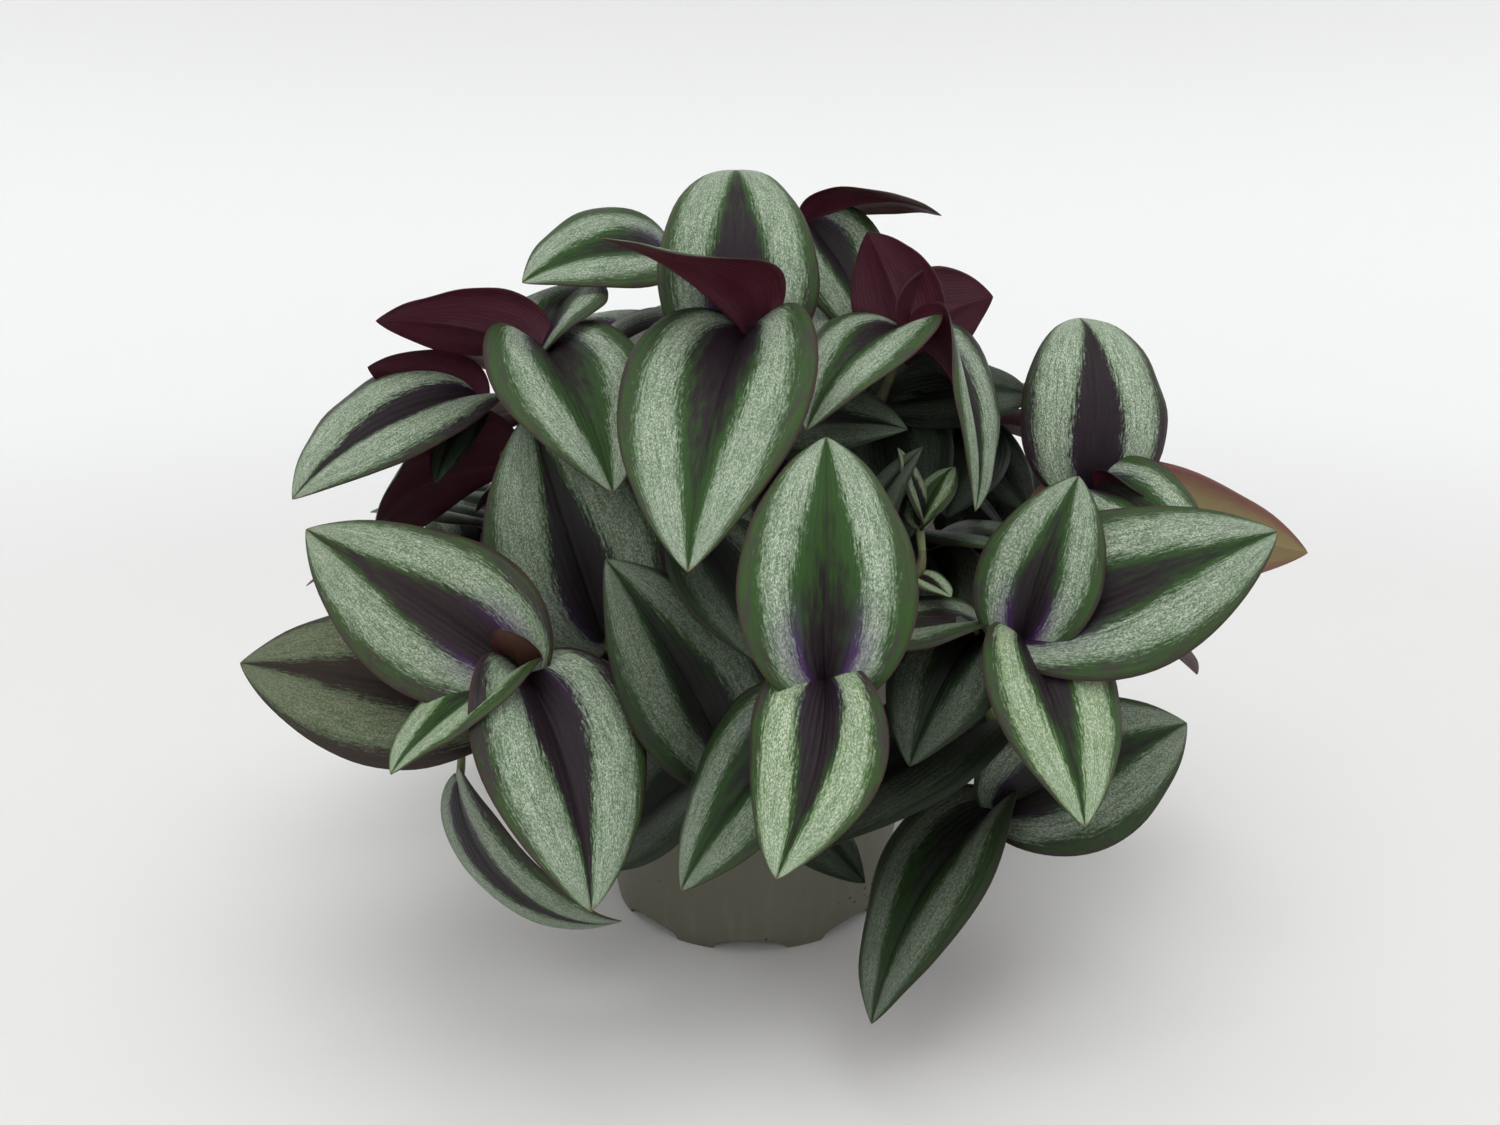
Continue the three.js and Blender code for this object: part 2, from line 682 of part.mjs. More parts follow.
const shoots = grow([...SHOOTS, ...backShoots()]);
const plant = new THREE.Group();
plant.add(meshOf("pot", potSolid(), PLASTIC));
plant.add(meshOf("soil", soilSolid(shoots), EARTH));
for (const { name, stem, leaves } of shoots) {
  const solid = joined([tube(stemPoints(stem), STEM_RADIUS), ...leaves.map(leafSolid)]);
  plant.add(meshOf(`shoot_${name}`, solid, FOLIAGE));
}

export default plant;
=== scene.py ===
# A potted inch plant with its looks: leaves, stems, soil and pot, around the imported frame.
# Tables and named sizes are in millimetres and degrees, unless said otherwise.

from functools import reduce
from itertools import product
from math import cos, hypot, pi, sin, sqrt

import bpy
import numpy as np
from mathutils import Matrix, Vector, noise
from mathutils.bvhtree import BVHTree


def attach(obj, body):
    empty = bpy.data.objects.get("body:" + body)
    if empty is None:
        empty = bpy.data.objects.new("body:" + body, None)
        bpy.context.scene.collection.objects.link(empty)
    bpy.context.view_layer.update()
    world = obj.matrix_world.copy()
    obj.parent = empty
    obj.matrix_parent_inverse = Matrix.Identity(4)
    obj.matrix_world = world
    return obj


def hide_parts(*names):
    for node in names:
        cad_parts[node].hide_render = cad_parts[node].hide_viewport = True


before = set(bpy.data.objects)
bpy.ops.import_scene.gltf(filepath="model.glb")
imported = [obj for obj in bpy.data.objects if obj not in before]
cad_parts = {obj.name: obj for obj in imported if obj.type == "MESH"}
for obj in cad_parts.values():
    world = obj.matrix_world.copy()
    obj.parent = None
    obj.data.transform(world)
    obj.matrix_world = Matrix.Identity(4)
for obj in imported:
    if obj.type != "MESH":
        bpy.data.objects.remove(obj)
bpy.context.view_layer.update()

MM = 0.001
DEGREE = pi / 180
CIRCLE = 2 * pi

# Camera: at the photograph's height and tilt, its place in metres
CAMERA_PLACE = (0.0, -0.365, 0.208)
CAMERA_TILT_DOWN = 15.0
CAMERA_LENS = 28.8
CAMERA_SENSOR = 36
CAMERA_NEAR = 0.01

# Studio, in metres and watts. A light is: name, place, size, power, colour.
BACKDROP_FLAT = 1.1
BACKDROP_CURVE = 1.0
BACKDROP_HEIGHT = 1.5
BACKDROP_SIDES = 96
FLAT_RINGS = 4
CURVE_RINGS = 24
PAPER_NEAR = [(0.8, 0.8, 0.79), (0.83, 0.83, 0.82)]
# painted light makes the paper paler far from the plant, and painted shade darker up the wall
PAPER_FAR_PAINTED_LIGHT = (0.95, 0.955, 0.955)
PAPER_HIGH_PAINTED_SHADE = (0.74, 0.74, 0.735)
PAINTED_LIGHT_FADE = (0.4, 1.3)
PAINTED_SHADE_FADE = (0.15, 1.0)
WORLD_COLOUR = (0.95, 0.975, 1.0)
WORLD_LIGHT = 0.42
LIGHT_TARGET = (0, 0, 0.1)
LIGHTS = [
    ("top", (0.2, -0.6, 2.85), 2.8, 48, (1, 0.995, 0.98)),
    ("key", (-1.1, -1.7, 2.2), 1.4, 15, (1, 0.99, 0.97)),
]

# Pot
POT_HEIGHT = 92
FOOT_RADIUS = 44
SHOULDER_RADIUS = 58
LIP_RADIUS = 60
LIP_HEIGHT = 8
WALL = 1.3
FLOOR_UNDERSIDE = 6
FLOOR_TOP = 7.6
ARCHES = 8
ARCH_ANGLE = 30
ARCH_HEIGHT = 3.6
ARCH_REACH = 4
ARCH_PULL = 0.25
DRAIN_HOLES = 8
DRAIN_RADIUS = 4
DRAIN_RING = 30
DRAIN_SIDES = 32
POT_SIDES = 240
WALL_RINGS = [8, 20, 36, 52, 68]
BORE_RINGS = [60, 30]
FOOT_BEVEL = 0.25
FOOT_EDGE = 0.3
LIP_ROOT = 0.6
FLOOR_ROOT = 1.5
# Rounded edges, as steps away from a radius and from a height
LIP_ROOT_EDGE = [(0.2, 0.15)]
LIP_UNDERSIDE = [(0.5, 0), (0.1, 0.3), (0, 0.9)]
LIP_TOP = [(0, 1.2), (0.25, 0.4), (0.9, 0)]
BORE_TOP = [(0.7, 0), (0.15, 0.4), (0, 1.2)]
FLOOR_EDGE = [(0.4, 0.4), (1.6, 0)]

# Soil
SOIL_EDGE_TOP = 80
SOIL_MIDDLE_TOP = 84
SOIL_SHOULDER = 0.6
SHOULDER_DROP = 1
GAP = 0.3
SOIL_INSET = 0.15
SOIL_RINGS = 46
SOIL_SIDES = 180
SOIL_SEED = 31
ROUGH_TOP = {"scale": 0.11, "slice": 3.7, "height": 1.1}
LUMPY_TOP = {"scale": 0.45, "slice": 8.1, "height": 0.7, "least": -0.2}
TOP_SHIFT = 0.2
CRUMBS = 900
CRUMB_SIZE = 0.5
CRUMB_GROWTH = 1.7
CRUMB_RAISE = 0.25
CRUMB_STRETCH = [(0.7, 1.4), (0.7, 1.4), (0.5, 0.95)]
CRUMB_WOBBLE = 0.25
CRUMB_EDGE = 2.5
GRIT_ABOVE = 0.955
LUMP_SIDES = 6
LUMP_RINGS = 3

# Leaves, as the solids have them
ROWS = [0, 0.14, 0.4, 0.72, 1]
COLUMNS = [-1, -0.5, 0, 0.5, 1]
FULLNESS_AT_BASE = 0.46
FULLNESS_AT_TIP = 0.86
LEAST_ARCH = 0.5
USUAL_FOLD = 35
LEAST_FOLD = 12
FOLD_FADE = 1.6
USUAL_CURL = 40
CURL_AT_BASE = 0.35
CURL_PEAK = 1.15
LOBE_DEPTH = 0.1
LOBE_RISE = 1.5
LOBE_FADE = 6
LEAF_CLEARANCE = 1.2
EDGE_CLEARANCE = 0.8
STEM_CLEARANCE = 2.6
GROUND_CLEARANCE = 3
POT_CLEARANCE = 2.5
OVER_RIM = 2
INSIDE_RIM = 3
LEAF_SIZES = [1, 0.84, 0.7]
TURN_STEPS = [0, 4, 8, 13, 19, 26, 34, 44]
DIAGONAL = 0.7
OWN_SHOOT_FIRST_ROW = 1

# Leaves, as they are shown. A ripple is: height, least and most waves along the leaf, shift
# from half to half, and how steeply it grows to the edge.
FINE_ROWS = 36
ROW_CROWDING = 1.12
FINE_COLUMNS = [0, 0.03, 0.075, 0.14, 0.22, 0.31, 0.41, 0.52, 0.63, 0.74, 0.84, 0.925, 1]
BLADE_HALF = 0.28
EDGE_THINNING = 0.55
TIP_THICKNESS = 0.35
END_FADE = 4
USUAL_LENGTH = 70
RIPPLES = [(0.35, 7, 12, 1.3, 2), (0.22, 15, 24, 2.1, 3)]
RIPPLE_START = 6.28
SWELLING = 0.25
SWELLING_WAVES = 5.2
PLEATS = 0.1
PLEAT_WAVES = 15
EDGE_DROOP = 1.3
RIB_HALF = 0.045
RIB_ABOVE = 0.2
RIB_BELOW = 0.5
GRAIN = 0.01
GRAIN_DRAW = 9
RIM_GRAIN = 0.2
LOOKS_SEED = 101

# Stems, with a sheath below each leaf's base
STEM_RADIUS = 1.9
STEM_SIDES = 12
STEM_SAMPLES = 8
STEM_THINNING = 0.16
NODE_SWELLING = 0.4
NODE_REACH = 0.12
TAPER = 16
LEAST_TAPER = 0.1
TAPER_CURVE = 0.6
SHEATH_SAMPLES = 40
SHEATH_BELOW = 8
SHEATH_ABOVE = 1.2
SHEATH_RINGS = 7
SHEATH_STATIONS = [0, 0.15, 0.8, 1]
SHEATH_RADII = [1.75, 2.15, 2.5, 2.2]
LAST_SHEATH_RADII = [0.8, 1.1, 1.2, 0.4]
TUBE_START = [0.3, 0.9, 0.1]
TUBE_GRAIN_RADIUS = 2.0
CAP_GRAIN = 0.001

# How much sky the other leaves hide from a leaf, which sets the painted shade on it
SKY_RAYS = 24
SKY_LOWEST = 0.15
SKY_SPAN = 0.8
SKY_TURN = 2.399963
SKY_START = 3
OPEN_SHARE = 0.28
HIDDEN_SPAN = 0.57
HIDDEN_CURVE = 1.3

# A shoot is: name, stem points, leaves. A leaf is: stem point, length, width, heading, pitch,
# roll, arch, and what is unusual about it.
FUSED = {"fused": True}
SHOOTS = [
    ("crown", [[4, 4, 72], [4, 2, 120], [2, -18, 152], [-3, -38, 178], [-1, -45, 184]],
     [[3, 68, 47, 92, 56, 0, 100, {"fold": -10}], [4, 79, 52, -103, -40, 4, 55],
      [4, 46, 42, -160, 33, 0, 35, {"fold": 85, "fused": True}], [2, 70, 40, -80, -52, 0, 50],
      [2, 56, 44, 82, 0, 0, 50]]),
    ("low_centre", [[2, -36, 72], [4, -62, 100], [15, -98, 100], [17, -110, 112]],
     [[3, 61, 42, 88, 64, 0, 70], [3, 47, 33, -112, -48, 0, 50, {"sway": 4}],
      [2, 53, 38, -155, -49, -10, 30]]),
    ("front_under", [[-8, -40, 72], [-10, -56, 99], [-9, -73, 92], [-7, -77, 79]],
     [[3, 64, 42, -152, 62, -70, 40], [3, 46, 36, -171, -42, -20, 30],
      [3, 52, 28, -5, -43, 30, 30]]),
    ("upper_left", [[-14, 0, 72], [-30, 0, 120], [-50, -8, 158], [-60, -15, 178]],
     [[3, 64, 48, -62, -32, 0, 50], [3, 47, 28, -161, 11, 50, 40, {"fold": 50}],
      [3, 36, 32, 65, 30, 0, 60], [2, 50, 36, -35, -20, 0, 50], [2, 54, 38, 25, 4, 0, 50]]),
    ("left_low", [[-28, -24, 72], [-46, -48, 104], [-62, -74, 92], [-56, -85, 104]],
     [[3, 66, 44, 169, 32, -50, 25], [2, 72, 48, 177, 8, -50, 25], [3, 64, 46, -63, -43, -10, 60],
      [3, 45, 30, -123, -13, 10, 40, FUSED], [3, 22, 12, -100, 50, 0, 40, FUSED]]),
    ("right_low", [[24, -26, 72], [42, -48, 104], [60, -67, 109], [68, -80, 112]],
     [[3, 66, 46, -5, 26, 50, 25], [3, 53, 34, -80, -37, 0, 50], [2, 45, 34, -126, -34, 0, 50],
      [3, 45, 32, 40, 66, 30, 60], [2, 46, 34, -162, -28, 0, 40]]),
    ("right_high", [[28, 0, 72], [54, -8, 116], [86, -18, 124], [99, -25, 138]],
     [[3, 65, 45, 88, 56, 0, 100, {"fold": -10}], [3, 46, 30, -35, -5, 30, 90],
      [3, 26, 20, -50, -10, -40, 40, FUSED], [2, 78, 46, -10, -2, -80, 50],
      [1, 50, 36, -60, 10, 0, 50]]),
    ("right_under", [[34, -14, 72], [49, -33, 103], [67, -59, 80], [67, -70, 60]],
     [[3, 68, 44, -134, -36, 20, 50], [3, 58, 44, 10, 22, 50, 40], [2, 69, 46, -170, -41, 0, 50]]),
    ("inner_right", [[16, -6, 72], [24, -6, 120], [38, -8, 160], [46, -12, 181]],
     [[3, 62, 38, -69, -47, -42, 60, {"fold": 70}],
      [3, 33, 30, 160, 66, 80, 40, {"fold": 10, "fused": True}],
      [3, 31, 34, 20, 22, -75, 60, {"fold": 10, "fused": True}],
      [3, 66, 36, -122, -18, 0, 60, FUSED], [2, 48, 40, -84, -48, 0, 40],
      [2, 49, 30, 0, 4, 45, 60, FUSED]]),
    ("left_under", [[-34, -12, 72], [-56, -32, 100], [-76, -56, 82], [-79, -66, 66]],
     [[3, 66, 34, -8, -41, 120, 96, {"fold": 10}], [2, 46, 34, 160, -20, 0, 50]]),
    ("left_high", [[-26, 8, 72], [-48, 6, 116], [-74, 2, 140], [-84, 8, 160]],
     [[3, 71, 42, -131, -18, -20, 60], [3, 36, 24, -150, 20, 60, 40, FUSED],
      [2, 60, 44, -125, -6, 60, 80], [3, 39, 16, -102, -31, 0, 30, FUSED],
      [1, 50, 36, -170, -20, 0, 50]]),
    ("left_inner", [[-18, -24, 72], [-26, -42, 98], [-40, -52, 103]],
     [[2, 66, 52, 152, 70, -50, 40], [1, 40, 30, -60, -10, 0, 50]]),
    ("top_back", [[-6, 12, 72], [-10, 20, 130], [-18, 27, 180], [-26, 30, 200]],
     [[3, 58, 40, -138, -12, -35, 70], [2, 50, 36, -136, -20, 0, 60], [3, 44, 34, 150, 10, 0, 60]]),
    ("top_right", [[8, 18, 72], [12, 20, 130], [17, 24, 180], [18, 24, 213]],
     [[3, 45, 22, -25, 3, -20, 60], [3, 49, 36, -44, -49, 20, 50], [2, 44, 34, 50, 20, 0, 60]]),
    ("inner_front", [[10, -28, 72], [22, -44, 100], [44, -54, 120], [46, -50, 134]],
     [[3, 22, 14, 150, 70, 0, 30], [3, 20, 16, 40, 48, 0, 50, FUSED], [2, 16, 12, -60, -4, 0, 30],
      [1, 62, 34, -16, 66, 30, 40, FUSED]]),
    ("front_inner", [[-4, -24, 72], [-8, -42, 108], [-14, -64, 134]],
     [[2, 40, 34, -73, -60, 0, 40]]),
    ("left_back", [[-34, 10, 72], [-58, 20, 108], [-80, 28, 108], [-92, 32, 102]],
     [[3, 68, 46, 172, -10, 0, 50], [3, 58, 42, 100, -10, 0, 50], [2, 50, 36, -150, 20, 0, 50]]),
]
BACK_ROWS = [
    {"name": "rim", "count": 5, "first": 20, "last": 146,
     "reach": [46, 58, 77, 92], "height": [72, 104, 107, 98],
     "leaves": [[3, 72, 48, 0, -20, 0, 50], [3, 58, 42, 68, -4, 0, 50],
                [3, 56, 40, -68, -22, 0, 50], [2, 56, 40, -40, 24, 0, 60]]},
    {"name": "side", "count": 4, "first": 22, "last": 154,
     "reach": [30, 40, 53, 68], "height": [72, 112, 140, 148],
     "leaves": [[3, 66, 46, 0, -18, 0, 60], [3, 60, 42, 64, 6, 0, 60], [3, 60, 42, -64, -12, 0, 50],
                [2, 50, 36, 40, -30, 0, 50], [2, 50, 36, -60, 30, 0, 50]]},
    {"name": "top", "count": 2, "first": 88, "last": 132,
     "reach": [22, 26, 38, 50], "height": [72, 120, 156, 172],
     "leaves": [[3, 62, 44, 0, -10, 0, 60], [3, 56, 40, 70, 8, 0, 60], [3, 56, 40, -70, -6, 0, 50],
                [2, 50, 40, 10, -40, 0, 50]]},
]
STEM_FOOT = 72
# The shoots at the back follow rows by one rule, with these draws
BACK_SEED = 13
AZIMUTH_DRAW = 5
GROWTH_DRAW = (0.94, 1.06)
STEM_VEER = 3
SIZE_DRAW = (0.9, 1.08)
HEADING_DRAW = 12
PITCH_DRAW = 9
ROLL_DRAW = 14
DRAW_FACTOR = 1664525
DRAW_STEP = 1013904223
DRAW_RANGE = 2 ** 32
# Small leaves inside the plant that only the shown model has, by shoot
INNER_LEAVES = [
    ("right_high", [1, 46, 30, -88, -22, -13, 50]), ("side_1", [3, 38, 26, -41, -37, 27, 50]),
    ("side_1", [3, 50, 35, -101, -21, -14, 50]), ("crown", [2, 49, 35, -30, 8, 33, 50]),
    ("top_right", [2, 38, 26, -85, -9, 37, 50]), ("rim_1", [2, 47, 35, -130, -22, 14, 50]),
]
# Young leaves, by shoot and place in its row, from 0 for grown to 1 for the freshest.
# Below 0 a leaf is old and bronze. The pale underside of ("right_high", 3) is also painted light
# that shines through the blade.
YOUNG = {
    ("low_centre", 1): 0.4, ("right_low", 1): 0.5, ("left_low", 3): 0.4, ("left_low", 4): 0.2,
    ("inner_front", 0): 0.5, ("inner_front", 1): 0.6, ("inner_front", 2): 0.5,
    ("left_high", 3): 0.3, ("right_high", 3): 1.0, ("left_low", 1): -1.0,
    ("left_low", 0): -0.2, ("right_low", 4): -0.2,
}

# Materials of a shoot, in their order
UPPER, UNDER, STEM, SHEATH = range(4)

# Noise drawn out along a leaf or stem: scale along, scale across, detail, roughness
PATTERNS = {
    "streaks": (16, 150, 3, 0.6), "ragged": (60, 170, 3, 0.7),
    "wander": (20, 60, 2, 0.5), "fine": (330, 420, 2, 0.7),
    "flecks": (190, 310, 2, 0.75), "soft": (13, 100, 3, 0.6),
    "patches": (7, 16, 2, 0.6), "drift": (14, 55, 3, 0.65),
    "dark streaks": (20, 260, 3, 0.6), "under soft": (20, 60, 3, 0.6),
    "under fine": (330, 380, 2, 0.7), "stem streaks": (30, 260, 3, 0.6),
    "stem spots": (160, 420, 2, 0.6), "sheath streaks": (14, 420, 2, 0.6),
}
STIPPLE_CELLS = (120, 205, 1)

# Where the silver bands lie, as shares of half the blade from the rib, and how softly they end
STRIPE_AT_BASE = 0.42
STRIPE_AT_TIP = 0.14
MARGIN_START = 0.77
MARGIN_AT_TIP = 0.88
MARGIN_AT_BASE = 0.13
BAND_ENDS = [(0.05, 0.06), (0.07, 0.06)]
DEEP_ENDS = [(0.03, 0.13), (0.17, 0.03)]

# Colours of the upper faces
SILVER = (0.61, 0.69, 0.56)
SILVER_YOUNG = (0.76, 0.82, 0.62)
# painted sheen: the paler silver towards a leaf's tip
SILVER_TIP_SHEEN = (0.7, 0.79, 0.66)
SILVER_GREY = (0.4, 0.46, 0.37)
SILVER_BRONZE = (0.42, 0.42, 0.28)
SILVER_VIOLET = (0.16, 0.1, 0.22)
BELOW_SILVER = (0.085, 0.15, 0.07)
BELOW_SILVER_YOUNG = (0.17, 0.3, 0.08)
AUBERGINE = (0.016, 0.0085, 0.0135)
STRIPE_GREEN = (0.024, 0.068, 0.011)
MARGIN_GREEN = (0.055, 0.1, 0.026)
MARGIN_PURPLE = (0.05, 0.036, 0.042)
BRONZE = (0.055, 0.024, 0.02)
PALE_STREAK = (0.055, 0.06, 0.05)
VIOLET = (0.075, 0.014, 0.13)
RIM_BROWN = (0.06, 0.026, 0.028)
RIB_DARK = (0.02, 0.012, 0.014)
TIP_BROWN = (0.12, 0.07, 0.03)
SHADED = (0.007, 0.014, 0.007)

# Colours of the undersides, stems, pot and soil
WINE_DARK = (0.036, 0.005, 0.012)
WINE = (0.085, 0.012, 0.026)
WINE_BAND = (0.12, 0.03, 0.05)
WINE_RIB = (0.15, 0.04, 0.05)
# a young leaf's underside, partly its own colour and partly painted light shining through it
YOUNG_UNDER_LIT_THROUGH = (0.3, 0.24, 0.11)
YOUNG_UNDER_MARGIN = (0.27, 0.085, 0.1)
STEM_GREEN = (0.12, 0.16, 0.05)
STEM_PURPLE = (0.1, 0.035, 0.045)
STEM_SPOT = (0.2, 0.2, 0.11)
SHEATH_PALE = (0.2, 0.27, 0.1)
SHEATH_DARK = (0.12, 0.13, 0.07)
POT_DARK = (0.097, 0.095, 0.066)
POT_PALE = (0.13, 0.126, 0.09)
POT_SCUFF = (0.2, 0.19, 0.155)
POT_DIRT = (0.03, 0.021, 0.014)
SOIL_FIBRE = (0.11, 0.07, 0.035)
SOIL_LOOK = [(0.014, 0.009, 0.006), (0.045, 0.028, 0.017), 420.0]
GRIT_LOOK = [(0.3, 0.27, 0.22), (0.5, 0.47, 0.4), 300.0]


def draws_from(seed):
    state = seed

    def draw(low, high):
        nonlocal state
        state = (state * DRAW_FACTOR + DRAW_STEP) % DRAW_RANGE
        return low + (high - low) * state / DRAW_RANGE
    return draw


def back_shoots():
    draw = draws_from(BACK_SEED)
    shoots = []
    for row in BACK_ROWS:
        for k in range(row["count"]):
            spacing = (row["last"] - row["first"]) / (row["count"] - 1)
            azimuth = row["first"] + spacing * k + draw(-AZIMUTH_DRAW, AZIMUTH_DRAW)
            growth = draw(*GROWTH_DRAW)
            side = 1 if k % 2 else -1
            stem = []
            for i, (reach, height) in enumerate(zip(row["reach"], row["height"])):
                angle = (azimuth + side * STEM_VEER * i) * DEGREE
                height = STEM_FOOT + (height - STEM_FOOT) * growth
                stem.append([reach * cos(angle), reach * sin(angle), height])
            leaves = []
            for point, length, width, heading, pitch, roll, arch in row["leaves"]:
                size = draw(*SIZE_DRAW)
                turned = azimuth + side * heading + draw(-HEADING_DRAW, HEADING_DRAW)
                raised = pitch + draw(-PITCH_DRAW, PITCH_DRAW)
                rolled = roll + draw(-ROLL_DRAW, ROLL_DRAW)
                leaves.append([point, length * size, width * size, turned, raised, rolled, arch])
            shoots.append({"name": f"{row['name']}_{k + 1}", "stem": stem, "leaves": leaves})
    return shoots


def blade_outline(u):
    widest = FULLNESS_AT_BASE / (FULLNESS_AT_BASE + FULLNESS_AT_TIP)
    top = widest ** FULLNESS_AT_BASE * (1 - widest) ** FULLNESS_AT_TIP
    return np.clip(u, 0, 1) ** FULLNESS_AT_BASE * np.clip(1 - u, 0, 1) ** FULLNESS_AT_TIP / top


def leaf_frame(leaf):
    """A leaf's directions: along it, out of its upper face, and across it."""
    h, p, r = (leaf[key] * DEGREE for key in ("heading", "pitch", "roll"))
    along = np.array([cos(p) * cos(h), cos(p) * sin(h), sin(p)])
    upright = np.array([-sin(p) * cos(h), -sin(p) * sin(h), cos(p)])
    face = upright * cos(r) + np.cross(along, upright) * sin(r)
    return along, face, np.cross(face, along)


def blade_points(leaf, us, vs, lift=0.0):
    """Rows of points of a blade from base to tip, lifted off its middle surface."""
    along, face, across = leaf_frame(leaf)
    bend = max(leaf["arch"], LEAST_ARCH) * DEGREE
    u = np.asarray(us, float)[:, None]
    v = np.asarray(vs, float)[None, :] * ((u > 0) & (u < 1))
    turn = bend / 2 - bend * u
    forward = leaf["length"] / bend * (sin(bend / 2) - np.sin(turn))
    rise = leaf["length"] / bend * (np.cos(turn) - cos(bend / 2))
    sideways = leaf["sway"] * np.sin(pi * u)
    rib = np.array(leaf["base"], float) + along * forward + face * rise + across * sideways
    onward = along * np.cos(turn) + face * np.sin(turn)
    up = face * np.cos(turn) - along * np.sin(turn)
    half = leaf["width"] / 2 * blade_outline(u)
    fold = (leaf["fold"] * (1 - u) ** FOLD_FADE + LEAST_FOLD) * DEGREE
    swell = np.sin(pi * np.minimum(u * CURL_PEAK, 1))
    curl = USUAL_CURL * (CURL_AT_BASE + (1 - CURL_AT_BASE) * swell) * DEGREE
    t = np.abs(v)
    slope = fold - curl * t
    out = half / curl * (np.sin(fold) - np.sin(slope)) * np.sign(v)
    high = half / curl * (np.cos(slope) - np.cos(fold))
    lobe = LOBE_DEPTH * leaf["width"] * t ** LOBE_RISE * (1 - u) ** LOBE_FADE
    lift = np.broadcast_to(lift, t.shape)
    out = out - lift * np.sign(v) * np.sin(slope)
    high = high + lift * np.where(v == 0, 1, np.cos(slope))
    points = rib[:, None, :] + across * out[:, :, None]
    return points + up[:, None, :] * high[:, :, None] - onward[:, None, :] * lobe[:, :, None]


def cells(points, first=0):
    """Corners and triangles of a surface of rows of points, its halves split as mirror images."""
    rows, columns = points.shape[:2]
    triangles = []
    for i, j in product(range(first, rows - 1), range(columns - 1)):
        a, b = i * columns + j, (i + 1) * columns + j
        c, d = b + 1, a + 1
        mirrored = j >= (columns - 1) / 2
        triangles += [(a, b, d), (b, c, d)] if mirrored else [(a, b, c), (a, c, d)]
    return points.reshape(-1, 3), triangles


class Surface:
    def __init__(self, *parts):
        corners, triangles, start = [], [], 0
        for points, tris in parts:
            corners.append(points)
            triangles += [(a + start, b + start, c + start) for a, b, c in tris]
            start += len(points)
        corners = np.concatenate(corners)
        used = corners[sorted({i for t in triangles for i in t})] if triangles else corners
        self.low, self.high = used.min(0), used.max(0)
        self.tree = BVHTree.FromPolygons(corners.tolist(), triangles)

    def meets(self, other):
        if (self.low > other.high).any() or (other.low > self.high).any():
            return False
        return bool(self.tree.overlap(other.tree))


def stem_curve(stem, samples):
    points = [np.array(p, float) for p in stem]
    points = [2 * points[0] - points[1]] + points + [2 * points[-1] - points[-2]]
    curve = []
    for i in range(1, len(points) - 2):
        a, b, c, d = points[i - 1:i + 3]
        for s in range(samples):
            t = s / samples
            curve.append(0.5 * (2 * b + (c - a) * t + (2 * a - 5 * b + 4 * c - d) * t * t
                                + (3 * b - a - 3 * c + d) * t ** 3))
    return np.array(curve + [points[-2]])


def stem_ribbons(stem):
    """Flat ribbons along a stem that stand in for it where leaves are placed."""
    middle = stem_curve(stem, 3)
    parts = []
    for direction in [(1, 0, 0), (0, 1, 0), (0, 0, 1), (1, 1, 0), (1, -1, 0)]:
        aside = np.array(direction, float)
        aside *= STEM_CLEARANCE / np.linalg.norm(aside)
        parts.append(Surface(cells(np.stack([middle - aside, middle + aside], 1))))
    return parts


def is_taken(points):
    """Whether a point lies in the ground, the pot or the soil."""
    x, y, z = points.reshape(-1, 3).T
    radius = np.hypot(x, y)
    wall = FOOT_RADIUS + (LIP_RADIUS - FOOT_RADIUS) * np.clip(z, 0, POT_HEIGHT) / POT_HEIGHT
    near_pot = (z < POT_HEIGHT + OVER_RIM) & (radius < wall + POT_CLEARANCE)
    low_or_outer = (z < SOIL_MIDDLE_TOP + OVER_RIM) | (radius > SHOULDER_RADIUS - INSIDE_RIM)
    return bool(((z < GROUND_CLEARANCE) | (near_pot & low_or_outer)).any())


def is_clear(leaf, shoot, others):
    wide = dict(leaf, length=leaf["length"] + EDGE_CLEARANCE,
                width=leaf["width"] + 2 * EDGE_CLEARANCE)
    upper = blade_points(wide, ROWS, COLUMNS, LEAF_CLEARANCE)
    under = blade_points(wide, ROWS, COLUMNS, -LEAF_CLEARANCE)
    if is_taken(upper) or is_taken(under):
        return False
    rims = [np.stack([upper[:, j], under[:, j]], 1) for j in (0, -1)]
    whole = Surface(*[cells(points) for points in [upper, under, *rims]])
    outer = Surface(cells(blade_points(leaf, ROWS, COLUMNS), OWN_SHOOT_FIRST_ROW))
    for owner, other_whole, other_outer in others:
        if owner != shoot["name"]:
            if whole.meets(other_whole):
                return False
        elif other_outer is not None and not leaf["fused"] and outer.meets(other_outer):
            return False
    return True


def turns():
    d = DIAGONAL
    ways = [(0, 1), (0, -1), (1, 0), (-1, 0), (d, d), (-d, d), (d, -d), (-d, -d)]
    for size in LEAF_SIZES:
        for step in TURN_STEPS:
            for aside, up in ways if step else [(0, 0)]:
                yield size, aside * step, up * step


def clear_leaf(row, shoot, others):
    """The leaf of a row of the table, turned clear of the others, or None without room."""
    unusual = row[7] if len(row) > 7 else {}
    point, length, width, heading, pitch, roll, arch = row[:7]
    for size, aside, up in turns():
        leaf = {"fold": USUAL_FOLD, "sway": 0, "fused": False, **unusual, "point": point,
                "base": shoot["stem"][point], "length": length * size, "width": width * size,
                "heading": heading + aside, "pitch": pitch + up, "roll": roll, "arch": arch}
        if is_clear(leaf, shoot, others):
            return leaf
    return None


